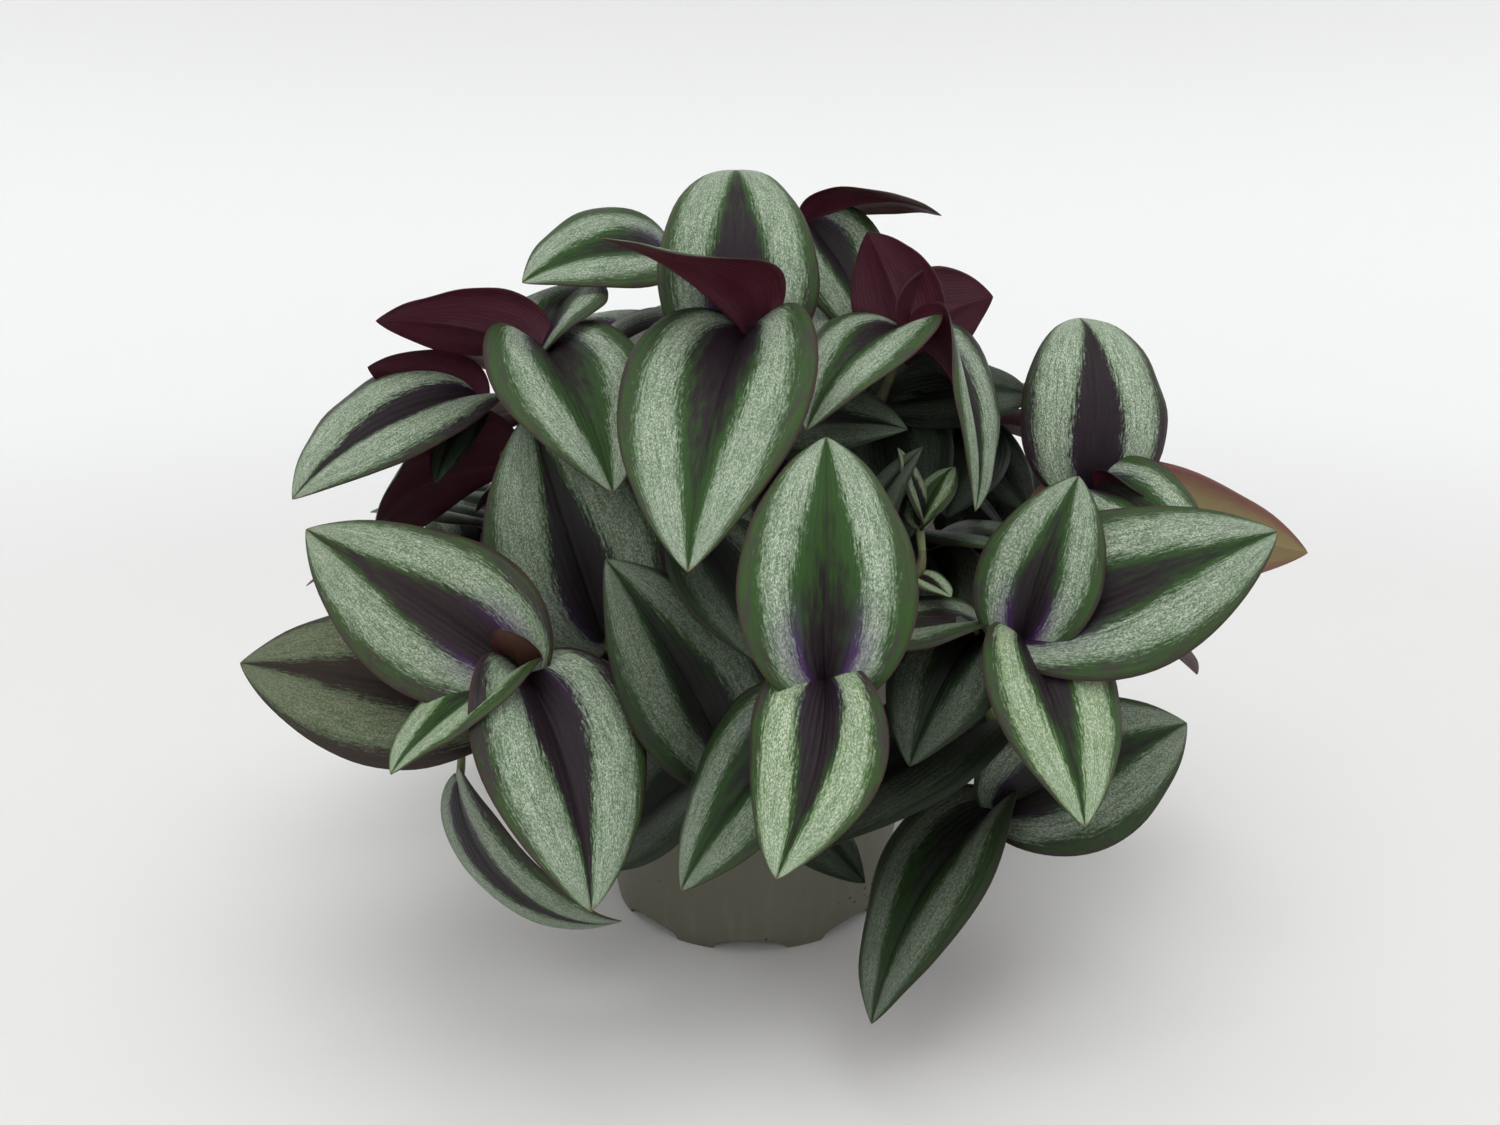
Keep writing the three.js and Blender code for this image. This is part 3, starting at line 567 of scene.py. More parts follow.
def grow(shoots):
    """Places the leaves one by one: those of the table first, then the small inner ones."""
    named = {shoot["name"]: shoot for shoot in shoots}
    others = [(s["name"], ribbon, None) for s in shoots for ribbon in stem_ribbons(s["stem"])]
    wanted = [(shoot, row, YOUNG.get((shoot["name"], k), 0.0))
              for shoot in shoots for k, row in enumerate(shoot["leaves"])]
    wanted += [(named[name], row, 0.0) for name, row in INNER_LEAVES]
    for shoot in shoots:
        shoot["grown"] = []
    for shoot, row, young in wanted:
        leaf = clear_leaf(row, shoot, others)
        if leaf:
            middle = blade_points(leaf, ROWS, COLUMNS)
            outer = Surface(cells(middle, OWN_SHOOT_FIRST_ROW))
            others.append((shoot["name"], Surface(cells(middle)), outer))
            shoot["grown"].append(dict(leaf, young=young))
    for leaf in (leaf for shoot in shoots for leaf in shoot["grown"]):
        # painted shade: the share of sky that the other leaves hide darkens each leaf's colour
        leaf["dull"] = covered(leaf, others)
    return shoots


def covered(leaf, others):
    """How much of the sky the other leaves hide from the middle of a leaf, from 0 to 1."""
    middle = blade_points(leaf, [0, 0.45, 1], [-0.5, 0, 0.5])[1, 1]
    start = Vector(middle + leaf_frame(leaf)[1] * SKY_START)
    hidden = 0
    for k in range(SKY_RAYS):
        rise = SKY_LOWEST + SKY_SPAN * (k + 0.5) / SKY_RAYS
        turn = k * SKY_TURN
        flat = sqrt(1 - rise * rise)
        way = Vector((flat * cos(turn), flat * sin(turn), rise))
        hidden += any(whole.tree.ray_cast(start, way)[0] is not None for _, whole, _ in others)
    share = (hidden / SKY_RAYS - OPEN_SHARE) / HIDDEN_SPAN
    return min(max(share, 0), 1) ** HIDDEN_CURVE


class Graph:
    def __init__(self, name):
        self.material = bpy.data.materials.new(name)
        self.material.use_nodes = True
        self.tree = self.material.node_tree
        self.shader = self.tree.nodes["Principled BSDF"]

    def put(self, socket, value):
        if isinstance(value, bpy.types.NodeSocket):
            self.tree.links.new(value, socket)
        elif socket.type == "RGBA":
            socket.default_value = (*value, 1)
        else:
            socket.default_value = value

    def node(self, kind, settings=None, **inputs):
        made = self.tree.nodes.new("ShaderNode" + kind)
        for key, value in (settings or {}).items():
            setattr(made, key, value)
        for key, value in inputs.items():
            self.put(made.inputs[key.replace("_", " ")], value)
        return made

    def math(self, operation, *values, clamp=False):
        made = self.node("Math", {"operation": operation, "use_clamp": clamp})
        for socket, value in zip(made.inputs, values):
            self.put(socket, value)
        return made.outputs[0]

    def plus(self, *values):
        return reduce(lambda a, b: self.math("ADD", a, b), values)

    def minus(self, a, b):
        return self.math("SUBTRACT", a, b)

    def times(self, *values):
        return reduce(lambda a, b: self.math("MULTIPLY", a, b), values)

    def linear(self, value, factor, start):
        return self.math("MULTIPLY_ADD", value, factor, start)

    def swing(self, value, width):
        """A value from 0 to 1 as a shift to both sides of 0."""
        return self.linear(value, width, -width / 2)

    def mix(self, factor, a, b):
        made = self.node("Mix", {"data_type": "RGBA"})
        for place, value in ((0, factor), (6, a), (7, b)):
            self.put(made.inputs[place], value)
        return made.outputs[2]

    def tint(self, colour, other, mask, strength):
        """A colour turned to another where the mask is 1, as far as the strength goes."""
        return self.mix(self.times(mask, strength), colour, other)

    def step(self, value, low, high, to_low=0, to_high=1):
        made = self.node("MapRange", {"interpolation_type": "SMOOTHSTEP"})
        for socket, v in zip(made.inputs, (value, low, high, to_low, to_high)):
            self.put(socket, v)
        return made.outputs[0]

    def fall(self, value, low, high):
        return self.step(value, low, high, 1, 0)

    def noise(self, vector, scale, detail=2, roughness=0.5, distortion=0):
        return self.node("TexNoise", Vector=vector, Scale=scale, Detail=detail,
                         Roughness=roughness, Distortion=distortion).outputs[0]

    def pattern(self, grain, name):
        along, across, detail, roughness = PATTERNS[name]
        return self.noise(self.scaled(grain, (along, across, 1)), 1, detail, roughness)

    def scaled(self, vector, scale):
        made = self.node("VectorMath", {"operation": "MULTIPLY"})
        self.put(made.inputs[0], vector)
        made.inputs[1].default_value = scale
        return made.outputs[0]

    def parts(self, vector):
        return self.node("SeparateXYZ", Vector=vector).outputs

    def spots(self, vector, scale):
        made = self.node("TexVoronoi", {"feature": "F1"}, Vector=vector, Scale=scale)
        return made.outputs["Distance"]

    def uv(self, name):
        return self.node("UVMap", {"uv_map": name}).outputs[0]

    def place(self):
        return self.node("TexCoord").outputs["Object"]

    def surface(self, colour, rough, shine, height=None, depth=0, distance=0):
        """The finished material, with a relief of a depth and a distance in metres."""
        values = [("Base Color", colour), ("Roughness", rough), ("Specular IOR Level", shine)]
        if height is not None:
            bump = self.node("Bump", Height=height, Strength=depth, Distance=distance)
            values.append(("Normal", bump.outputs[0]))
        for name, value in values:
            self.put(self.shader.inputs[name], value)
        return self.material


def leaf_inputs(g):
    """Along, across from the rib, side, grain place, and the leaf's chance, youth and painted
    shade.
    """
    x, y, _ = g.parts(g.uv("leaf"))
    grain = g.uv("grain")
    signed = g.linear(y, 2, -1)
    look = g.node("Attribute", {"attribute_name": "look"})
    return x, g.math("ABSOLUTE", signed), signed, grain, g.parts(look.outputs["Vector"])


def bands(g, along, rib, grain, chance):
    """How silver a place is, how deep in its band, and its share of the way to the band."""
    ragged = g.plus(g.swing(g.pattern(grain, "streaks"), 0.3),
                    g.swing(g.pattern(grain, "ragged"), 0.3))
    place = g.plus(rib, ragged)
    stripe = g.step(along, 0.1, 1, STRIPE_AT_BASE, STRIPE_AT_TIP)
    stripe = g.plus(stripe, g.swing(chance, 0.1))
    margin = g.plus(g.step(along, 0.35, 1, MARGIN_START, MARGIN_AT_TIP),
                    g.step(along, 0, 0.22, MARGIN_AT_BASE, 0))
    margin = g.plus(margin, g.swing(chance, -0.08))

    def band(ends):
        (before, after), (ahead, beyond) = ends
        start = g.step(place, g.minus(stripe, before), g.plus(stripe, after))
        return g.times(start, g.fall(place, g.minus(margin, ahead), g.plus(margin, beyond)))
    return band(BAND_ENDS), band(DEEP_ENDS), g.math("DIVIDE", rib, stripe)


def vein_height(g, signed, grain):
    """Fine parallel veins that wander a little."""
    bends = g.times(g.pattern(grain, "wander"), 5)
    return g.linear(g.math("SINE", g.linear(signed, 75, bends)), 0.5, 0.5)


def upper_material():
    g = Graph("leaf_upper")
    along, rib, signed, grain, (chance, young, dull) = leaf_inputs(g)
    silver, deep, edge = bands(g, along, rib, grain, chance)
    # stipple: pale cells over the green between them, with flecks and a fine grain
    dots = g.fall(g.spots(g.scaled(grain, STIPPLE_CELLS), 1), 0.15, 0.62)
    flecks = g.step(g.pattern(grain, "flecks"), 0.4, 0.6)
    fine = g.pattern(grain, "fine")
    stipple = g.linear(dots, 0.5, g.times(flecks, 0.5))
    stipple = g.plus(stipple, g.linear(g.pattern(grain, "soft"), 1.15, -0.64))
    stipple = g.math("ADD", stipple, g.linear(fine, 1.2, -0.5), clamp=True)
    stipple = g.times(stipple, g.linear(deep, 0.5, 0.5))
    # each leaf has its own tone, and soft patches of light and dark
    pale = g.mix(young, SILVER, SILVER_YOUNG)
    # painted sheen: the silver turns paler towards the tip
    pale = g.mix(g.step(along, 0.45, 1, 0, 0.6), pale, SILVER_TIP_SHEEN)
    tone = g.math("FRACT", g.times(chance, 3.7))
    patches = g.step(g.pattern(grain, "patches"), 0.35, 0.65, 0.35, 0)
    pale = g.mix(g.plus(g.times(tone, 0.4), patches), pale, SILVER_GREY)
    bronze = g.math("MAXIMUM", g.times(young, -1), 0)
    pale = g.mix(bronze, pale, SILVER_BRONZE)
    pale = g.mix(stipple, g.mix(young, BELOW_SILVER, BELOW_SILVER_YOUNG), pale)
    # middle stripe and margin: aubergine at the base, green at the tip and along their edges
    drift = g.pattern(grain, "drift")
    greening = g.plus(g.linear(drift, 1.1, g.linear(along, 0.9, -0.72)), g.swing(chance, 0.8),
                      g.step(edge, 0.35, 1.2, 0, 0.6), g.times(young, 0.3))
    green = g.mix(g.times(g.step(rib, 0.6, 1), along), STRIPE_GREEN, MARGIN_GREEN)
    dark = g.mix(g.step(greening, 0.28, 0.86), AUBERGINE, green)
    dark = g.tint(dark, BRONZE, bronze, 0.7)
    dark = g.tint(dark, PALE_STREAK, g.step(g.pattern(grain, "dark streaks"), 0.45, 0.8), 0.22)
    # margins turn a greyish purple in places
    outside = g.times(g.step(rib, 0.7, 0.9), g.fall(drift, 0.36, 0.6))
    dark = g.tint(dark, MARGIN_PURPLE, outside, 0.7)
    # violet along the stripe's edge near the base, on some leaves more than on others
    own = g.math("FRACT", g.times(chance, 7.3))
    blush = g.times(g.step(edge, 0.5, 1), g.fall(edge, 1.1, 1.8), g.fall(along, 0.08, 0.42),
                    g.step(drift, 0.25, 0.5), g.step(young, 0, 0.6, 0.9, 0),
                    g.step(own, 0.1, 0.9, 0.2, 1))
    dark = g.mix(blush, dark, VIOLET)
    colour = g.mix(silver, dark, g.tint(pale, SILVER_VIOLET, blush, 0.6))
    # rim, rib and tip, and last painted shade on leaves deep in the plant, darker the more sky the
    # other leaves hide from them
    colour = g.tint(colour, RIM_BROWN, g.step(rib, 0.95, 0.99), 0.75)
    colour = g.tint(colour, RIB_DARK, g.fall(rib, 0.008, 0.03), 0.6)
    colour = g.tint(colour, TIP_BROWN, g.step(along, 0.97, 0.998), 0.7)
    colour = g.tint(colour, SHADED, dull, 0.88)
    height = g.plus(g.times(vein_height(g, signed, grain), 0.5), g.times(stipple, 0.6),
                    g.times(fine, 0.5))
    rough = g.plus(g.linear(silver, -0.03, 0.4), g.swing(fine, 0.2))
    return g.surface(colour, rough, 0.18, height, 0.4, 0.0005)


def under_material():
    g = Graph("leaf_under")
    along, rib, signed, grain, (chance, young, _) = leaf_inputs(g)
    silver = bands(g, along, rib, grain, chance)[0]
    soft = g.pattern(grain, "under soft")
    colour = g.tint(g.mix(soft, WINE_DARK, WINE), WINE_BAND, silver, 0.22)
    # a young leaf's underside is a pale yellow green with a pink margin; on the freshest leaf it is
    # also painted light shining through the blade
    pink = g.linear(g.step(rib, 0.5, 1), 0.8, g.swing(soft, 0.7))
    colour = g.tint(colour, g.mix(pink, YOUNG_UNDER_LIT_THROUGH, YOUNG_UNDER_MARGIN), young, 0.9)
    colour = g.tint(colour, WINE_RIB, g.fall(rib, 0.01, 0.05), 0.22)
    veins = g.times(vein_height(g, signed, grain), g.step(soft, 0.25, 0.7))
    height = g.plus(g.times(veins, 0.5), g.times(g.pattern(grain, "under fine"), 0.5))
    return g.surface(colour, g.linear(soft, 0.2, 0.32), 0.3, height, 0.4, 0.0004)


def stem_material():
    g = Graph("stem")
    grain = g.uv("grain")
    streaks = g.pattern(grain, "stem streaks")
    spots = g.pattern(grain, "stem spots")
    colour = g.mix(g.step(streaks, 0.35, 0.7), STEM_GREEN, STEM_PURPLE)
    colour = g.tint(colour, STEM_SPOT, g.step(spots, 0.55, 0.75), 0.5)
    return g.surface(colour, 0.42, 0.4, g.plus(streaks, spots), 0.3, 0.0004)


def sheath_material():
    g = Graph("sheath")
    streaks = g.pattern(g.uv("grain"), "sheath streaks")
    colour = g.mix(g.step(streaks, 0.42, 0.62), SHEATH_PALE, SHEATH_DARK)
    return g.surface(colour, 0.5, 0.35, streaks, 0.4, 0.0004)


def pot_material():
    g = Graph("pot_plastic")
    place = g.place()
    cloud = g.noise(place, 60, 4, 0.6)
    drawn = g.noise(g.scaled(place, (260, 260, 16)), 1)
    colour = g.tint(g.mix(cloud, POT_DARK, POT_PALE), POT_SCUFF, g.step(drawn, 0.45, 0.8), 0.25)
    # crumbs of soil that stick to the wall, thicker in drifts
    drift = g.step(g.noise(place, 38, 3, 0.6), 0.54, 0.7)
    size = g.times(g.linear(g.noise(place, 700), 0.42, 0.02), drift)
    crumb = g.step(g.minus(size, g.spots(place, 330)), 0, 0.04)
    colour = g.tint(colour, POT_DIRT, crumb, 0.8)
    height = g.plus(g.times(g.noise(place, 2400, 2, 0.6), 0.3), crumb)
    rough = g.plus(g.linear(cloud, 0.16, 0.42), g.times(crumb, 0.4))
    return g.surface(colour, rough, 0.45, height, 0.25, 0.0005)


def soil_material(name, low, high, scale):
    g = Graph(name)
    lumps = g.noise(g.place(), scale, 4, 0.7)
    fibres = g.noise(g.scaled(g.place(), (900, 300, 500)), 1, 3, 0.7, 0.8)
    colour = g.mix(g.step(lumps, 0.3, 0.7), low, high)
    colour = g.tint(colour, SOIL_FIBRE, g.step(fibres, 0.58, 0.72), 0.45)
    return g.surface(colour, 0.92, 0.2, g.plus(lumps, fibres), 0.7, 0.0008)


def show(name, data):
    holder = bpy.data.objects.new(name, data)
    bpy.context.scene.collection.objects.link(holder)
    return holder


def new_piece(name, points, faces, materials, kinds=None):
    """A smooth mesh in the scene, from points in millimetres."""
    mesh = bpy.data.meshes.new(name)
    mesh.from_pydata((np.asarray(points, float) * MM).tolist(), [], faces)
    for material in materials:
        mesh.materials.append(material)
    if kinds is not None:
        mesh.polygons.foreach_set("material_index", kinds)
    mesh.polygons.foreach_set("use_smooth", [True] * len(faces))
    mesh.update()
    return show(name, mesh)


class Gather:
    """Faces of one shoot, with texture places at their corners and looks at their points."""

    def __init__(self):
        self.points, self.faces, self.kinds, self.look = [], [], [], []
        self.corners = {"leaf": [], "grain": []}

    def add(self, points, faces, places, grains, look, kinds):
        start = len(self.look)
        self.points.append(np.asarray(points, float).reshape(-1, 3))
        self.faces += [tuple(i + start for i in face) for face in faces]
        for name, values in (("leaf", places), ("grain", grains)):
            self.corners[name] += [value for face in values for value in face]
        self.look += [look] * len(points)
        self.kinds += kinds

    def made(self, name, materials):
        points = np.concatenate(self.points)
        piece = new_piece(name, points, self.faces, materials, self.kinds)
        for layer, values in self.corners.items():
            uv = piece.data.uv_layers.new(name=layer)
            uv.data.foreach_set("uv", np.asarray(values, np.float32).ravel())
        look = piece.data.attributes.new("look", "FLOAT_VECTOR", "POINT")
        look.data.foreach_set("vector", np.asarray(self.look, np.float32).ravel())
        piece.data.update()
        return piece


def add_leaf(gather, leaf, draw):
    """A thin closed blade: an upper and an under face, with the rim between them."""
    us = 0.5 - 0.5 * np.cos(pi * np.linspace(0, 1, FINE_ROWS + 1) ** ROW_CROWDING)
    us[-1] = 1
    vs = np.array([-v for v in FINE_COLUMNS[:0:-1]] + FINE_COLUMNS)
    u, v = us[:, None], vs[None, :]
    t = np.abs(v)
    # ripples, a low swelling of each half, pleats and a drooping edge
    starts = [draw(0, RIPPLE_START) for _ in range(3)]
    waves = 0.0
    for start, (height, least, most, shift, power) in zip(starts, RIPPLES):
        wave = np.sin(u * draw(least, most) + start + np.sign(v) * shift)
        waves = waves + height * wave * t ** power
    swell = SWELLING * np.sin(t * SWELLING_WAVES + starts[2]) * np.sin(pi * u)
    pleats = PLEATS * np.sin(t * PLEAT_WAVES + starts[0]) * np.sin(pi * u)
    fade = np.minimum(1, END_FADE * np.minimum(u, 1 - u))
    size = leaf["length"] / USUAL_LENGTH
    shape = (waves + swell + pleats - EDGE_DROOP * t ** 4) * fade * size
    groove = np.exp(-(t / RIB_HALF) ** 2) * np.sin(pi * np.minimum(u * 1.5 + 0.1, 1)) ** 0.5
    half = BLADE_HALF * (1 - EDGE_THINNING * t ** 6)
    half = half * np.minimum(1, 6 * (1 - u) + TIP_THICKNESS)
    upper = blade_points(leaf, us, vs, shape + half - RIB_ABOVE * groove * size)
    under = blade_points(leaf, us, vs, shape - half - RIB_BELOW * groove * size)
    # points: base, inner rows, tip, for the upper face and then the under face
    rows, columns = len(us), len(vs)
    face_points = 2 + (rows - 2) * columns
    points = []
    for side in (upper, under):
        points += [side[0, 0], *side[1:-1].reshape(-1, 3), side[-1, 0]]
    shift = (draw(0, GRAIN_DRAW), draw(0, GRAIN_DRAW))
    look = (draw(0, 1), leaf["young"], leaf["dull"])

    def index(face, i, j):
        inner = 1 + (i - 1) * columns + int(j)
        return face * face_points + {0: 0, rows - 1: face_points - 1}.get(i, inner)

    def across(j):
        left = int(j)
        return vs[left] if j == left else (vs[left] + vs[left + 1]) / 2

    faces, places, grains, kinds = [], [], [], []

    def add_face(corners, flip, spread, kind):
        corners = corners[::-1] if flip else corners
        here = [(us[i], across(j)) for _, i, j in corners]
        faces.append([index(*corner) for corner in corners])
        places.append([(p, q / 2 + 0.5) for p, q in here])
        grains.append([(p * leaf["length"] * GRAIN + shift[0], spread(q) + shift[1])
                       for p, q in here])
        kinds.append(kind)

    for face, i, j in product((0, 1), range(rows - 1), range(columns - 1)):
        corners = [(face, i, j), (face, i + 1, j), (face, i + 1, j + 1), (face, i, j + 1)]
        if i == 0:
            corners[0] = (face, i, j + 0.5)
            del corners[3]
        if i == rows - 2:
            corners[1] = (face, i + 1, j + 0.5)
            del corners[2]
        kind = UNDER if face else UPPER
        add_face(corners, face, lambda q: q * leaf["width"] * 0.5 * GRAIN, kind)
    for i, j in product(range(rows - 1), (0, columns - 1)):
        corners = [(0, i, j), (1, i, j), (1, i + 1, j), (0, i + 1, j)]
        add_face(corners, j, lambda q: (q + 1) / 2 * RIM_GRAIN, UPPER)
    gather.add(points, faces, places, grains, look, kinds)


def tube(gather, middle, radii, kind, draw):
    ahead = np.gradient(middle, axis=0)
    ahead /= np.linalg.norm(ahead, axis=1)[:, None]
    aside = np.cross(ahead[0], TUBE_START)
    aside /= np.linalg.norm(aside)
    points, length, lengths = [], 0.0, []
    for i, place in enumerate(middle):
        aside = aside - ahead[i] * (aside @ ahead[i])
        aside /= np.linalg.norm(aside)
        other = np.cross(ahead[i], aside)
        if i:
            length += np.linalg.norm(place - middle[i - 1])
        lengths.append(length)
        for x, y, _ in ring(1, 0, STEM_SIDES):
            points.append(place + radii[i] * (aside * x + other * y))
    shift = (draw(0, GRAIN_DRAW), draw(0, GRAIN_DRAW))
    girth = CIRCLE * TUBE_GRAIN_RADIUS * GRAIN
    faces, places, grains = [], [], []
    for i, k in product(range(len(middle) - 1), range(STEM_SIDES)):
        corners = [(i, k), (i, k + 1), (i + 1, k + 1), (i + 1, k)]
        faces.append([p * STEM_SIDES + q % STEM_SIDES for p, q in corners])
        places.append([(lengths[p] / length, q / STEM_SIDES) for p, q in corners])
        grains.append([(lengths[p] * GRAIN + shift[0], q / STEM_SIDES * girth + shift[1])
                       for p, q in corners])
    for start, order in ((0, -1), ((len(middle) - 1) * STEM_SIDES, 1)):
        faces.append([start + k for k in range(STEM_SIDES)][::order])
        places.append([(0.0, 0.0)] * STEM_SIDES)
        grains.append([(shift[0] + CAP_GRAIN * k, shift[1]) for k in range(STEM_SIDES)])
    look = (draw(0, 1), 0.0, draw(0, 1))
    gather.add(points, faces, places, grains, look, [kind] * len(faces))


def add_stem(gather, shoot, draw):
    """The stem, swollen at its nodes and thin at its end, and its sheaths."""
    curve = stem_curve(shoot["stem"], STEM_SAMPLES)
    spans = len(shoot["stem"]) - 1
    place = np.arange(len(curve)) / STEM_SAMPLES
    near = np.min(np.abs(place[:, None] - np.arange(1, spans + 1)[None, :]), axis=1)
    radii = STEM_RADIUS * (1 - STEM_THINNING * place / spans)
    radii = radii + NODE_SWELLING * np.exp(-(near / NODE_REACH) ** 2)
    left = np.linalg.norm(curve - curve[-1], axis=1)
    radii = radii * np.clip(left / TAPER, LEAST_TAPER, 1) ** TAPER_CURVE
    tube(gather, curve, radii, STEM, draw)
    fine = stem_curve(shoot["stem"], SHEATH_SAMPLES)
    steps = np.linalg.norm(np.diff(fine, axis=0), axis=1)
    walked = np.concatenate([[0], np.cumsum(steps)])
    for point in sorted({leaf["point"] for leaf in shoot["grown"]}):
        end = walked[point * SHEATH_SAMPLES]
        low, high = max(end - SHEATH_BELOW, 0), min(end + SHEATH_ABOVE, walked[-1])
        stations = np.linspace(low, high, SHEATH_RINGS)
        middle = np.stack([np.interp(stations, walked, fine[:, k]) for k in range(3)], 1)
        girths = LAST_SHEATH_RADII if point == spans else SHEATH_RADII
        radii = np.interp(np.linspace(0, 1, SHEATH_RINGS), SHEATH_STATIONS, girths)
        tube(gather, middle, radii, SHEATH, draw)


def ring(radius, height, sides, shift=0):
    angles = [CIRCLE * (k + shift) / sides for k in range(sides)]
    return [(radius * cos(a), radius * sin(a), height) for a in angles]


def around(sides):
    return [(k, (k + 1) % sides) for k in range(sides)]


def dome_faces(sides, rings):
    """A fan round point 0, and bands between the rings of points that follow it."""
    faces = [(0, 1 + k, 1 + n) for k, n in around(sides)]
    for i in range(rings - 1):
        start = 1 + i * sides
        faces += [(start + k, start + sides + k, start + sides + n, start + n)
                  for k, n in around(sides)]
    return faces


def pot_radius(height):
    shoulder = POT_HEIGHT - LIP_HEIGHT
    return FOOT_RADIUS + (SHOULDER_RADIUS - FOOT_RADIUS) * min(height, shoulder) / shoulder


def arch_lift(angle):
    """How far an arch of the foot lifts its edge at an angle round the pot."""
    step = 360 / ARCHES
    off = (angle + 90 + step / 2) % step - step / 2
    if abs(off) >= ARCH_ANGLE / 2:
        return 0.0
    share = sin(off * DEGREE) / sin(ARCH_ANGLE / 2 * DEGREE)
    return ARCH_HEIGHT * sqrt(1 - share ** 2)


def floor_mesh(inside):
    outline = bpy.data.curves.new("pot_floor", "CURVE")
    outline.dimensions = "2D"
    outline.fill_mode = "BOTH"
    outline.extrude = (FLOOR_TOP - FLOOR_UNDERSIDE) / 2 * MM
    circles = [(0, 0, inside, POT_SIDES), (0, 0, DRAIN_RADIUS, DRAIN_SIDES)]
    for k in range(DRAIN_HOLES):
        angle = (k + 0.5) * 2 * pi / DRAIN_HOLES
        circles.append((DRAIN_RING * cos(angle), DRAIN_RING * sin(angle),
                        DRAIN_RADIUS, DRAIN_SIDES))
    for x, y, radius, sides in circles:
        line = outline.splines.new("POLY")
        line.points.add(sides - 1)
        for point, (across, up, _) in zip(line.points, ring(radius, 0, sides)):
            point.co = ((x + across) * MM, (y + up) * MM, 0, 1)
        line.use_cyclic_u = True
    holder = show("pot_floor", outline)
    bpy.context.view_layer.update()
    shown = holder.evaluated_get(bpy.context.evaluated_depsgraph_get())
    flat = bpy.data.meshes.new_from_object(shown)
    bpy.data.objects.remove(holder)
    return flat


def make_pot():
    """The wall with its lip and scalloped foot, and the floor with its drain holes."""
    shoulder = POT_HEIGHT - LIP_HEIGHT
    r = pot_radius
    outer = [(r(0) - FOOT_BEVEL, 0), (r(FOOT_EDGE), FOOT_EDGE)]
    outer += [(r(z), z) for z in (ARCH_REACH, *WALL_RINGS, shoulder - LIP_ROOT)]
    outer += [(SHOULDER_RADIUS + out, shoulder - down) for out, down in LIP_ROOT_EDGE]
    outer += [(LIP_RADIUS - inward, shoulder + up) for inward, up in LIP_UNDERSIDE]
    outer += [(LIP_RADIUS - inward, POT_HEIGHT - down) for inward, down in LIP_TOP]
    inner = [(SHOULDER_RADIUS - WALL + out, POT_HEIGHT - down) for out, down in BORE_TOP]
    inner += [(r(z) - WALL, z) for z in (shoulder, *BORE_RINGS, FLOOR_TOP + FLOOR_ROOT)]
    inner += [(r(FLOOR_TOP) - WALL - inward, FLOOR_TOP + up) for inward, up in FLOOR_EDGE]
    inside = inner[-1][0]
    foot = [(inside, FLOOR_UNDERSIDE)]
    foot += [(r(z) - WALL, z) for z in (FLOOR_UNDERSIDE, ARCH_REACH, FOOT_EDGE)]
    foot += [(r(0) - WALL + FOOT_BEVEL, 0)]
    profile = outer + inner + foot
    points, faces = [], []
    for k in range(POT_SIDES):
        angle = 360 * k / POT_SIDES
        lift = arch_lift(angle)
        for radius, height in profile:
            z = height
            if height == ARCH_REACH:
                z = height + lift * ARCH_PULL
            elif height < ARCH_REACH:
                z = max(height, lift + min(height, FOOT_EDGE))
            out = radius + (z - height) * (SHOULDER_RADIUS - FOOT_RADIUS) / shoulder
            points.append((out * cos(angle * DEGREE), out * sin(angle * DEGREE), z))
    n = len(profile)
    floor_gap = len(outer) + len(inner) - 1
    for k, m in around(POT_SIDES):
        faces += [(k * n + i, m * n + i, m * n + j, k * n + j)
                  for i, j in around(n) if i != floor_gap]
    flat = floor_mesh(inside)
    middle = (FLOOR_TOP + FLOOR_UNDERSIDE) / 2 * MM
    start, flat_from = len(points), len(faces)
    points += [(v.co.x / MM, v.co.y / MM, (v.co.z + middle) / MM) for v in flat.vertices]
    faces += [tuple(i + start for i in p.vertices) for p in flat.polygons]
    piece = new_piece("pot_shell", points, faces, [pot_material()])
    for polygon in piece.data.polygons[flat_from:]:
        polygon.use_smooth = False
    piece.data.update()
    return piece


def soil_inside(height):
    return pot_radius(height) - WALL - GAP - SOIL_INSET


def soil_top(x, y):
    share = hypot(x, y) / soil_inside(SOIL_EDGE_TOP)
    z = SOIL_MIDDLE_TOP - SHOULDER_DROP * share / SOIL_SHOULDER
    if share >= SOIL_SHOULDER:
        edge_drop = SOIL_MIDDLE_TOP - SHOULDER_DROP - SOIL_EDGE_TOP
        z = SOIL_MIDDLE_TOP - SHOULDER_DROP
        z -= edge_drop * (share - SOIL_SHOULDER) / (1 - SOIL_SHOULDER)
    scale = ROUGH_TOP["scale"]
    rough = noise.fractal(Vector((x * scale, y * scale, ROUGH_TOP["slice"])), 0.9, 2.1, 5)
    scale = LUMPY_TOP["scale"]
    lumps = noise.noise(Vector((x * scale, y * scale, LUMPY_TOP["slice"])))
    lumps = max(lumps, LUMPY_TOP["least"])
    return z + ROUGH_TOP["height"] * rough + LUMPY_TOP["height"] * lumps - TOP_SHIFT


def lump_shape():
    points = [(0, 0, 1)]
    for i in range(1, LUMP_RINGS + 1):
        down = pi * i / (LUMP_RINGS + 1)
        points += ring(sin(down), cos(down), LUMP_SIDES, 0.5 * (i % 2))
    last, end = 1 + (LUMP_RINGS - 1) * LUMP_SIDES, len(points)
    faces = dome_faces(LUMP_SIDES, LUMP_RINGS)
    faces += [(end, last + n, last + k) for k, n in around(LUMP_SIDES)]
    return points + [(0, 0, -1)], faces


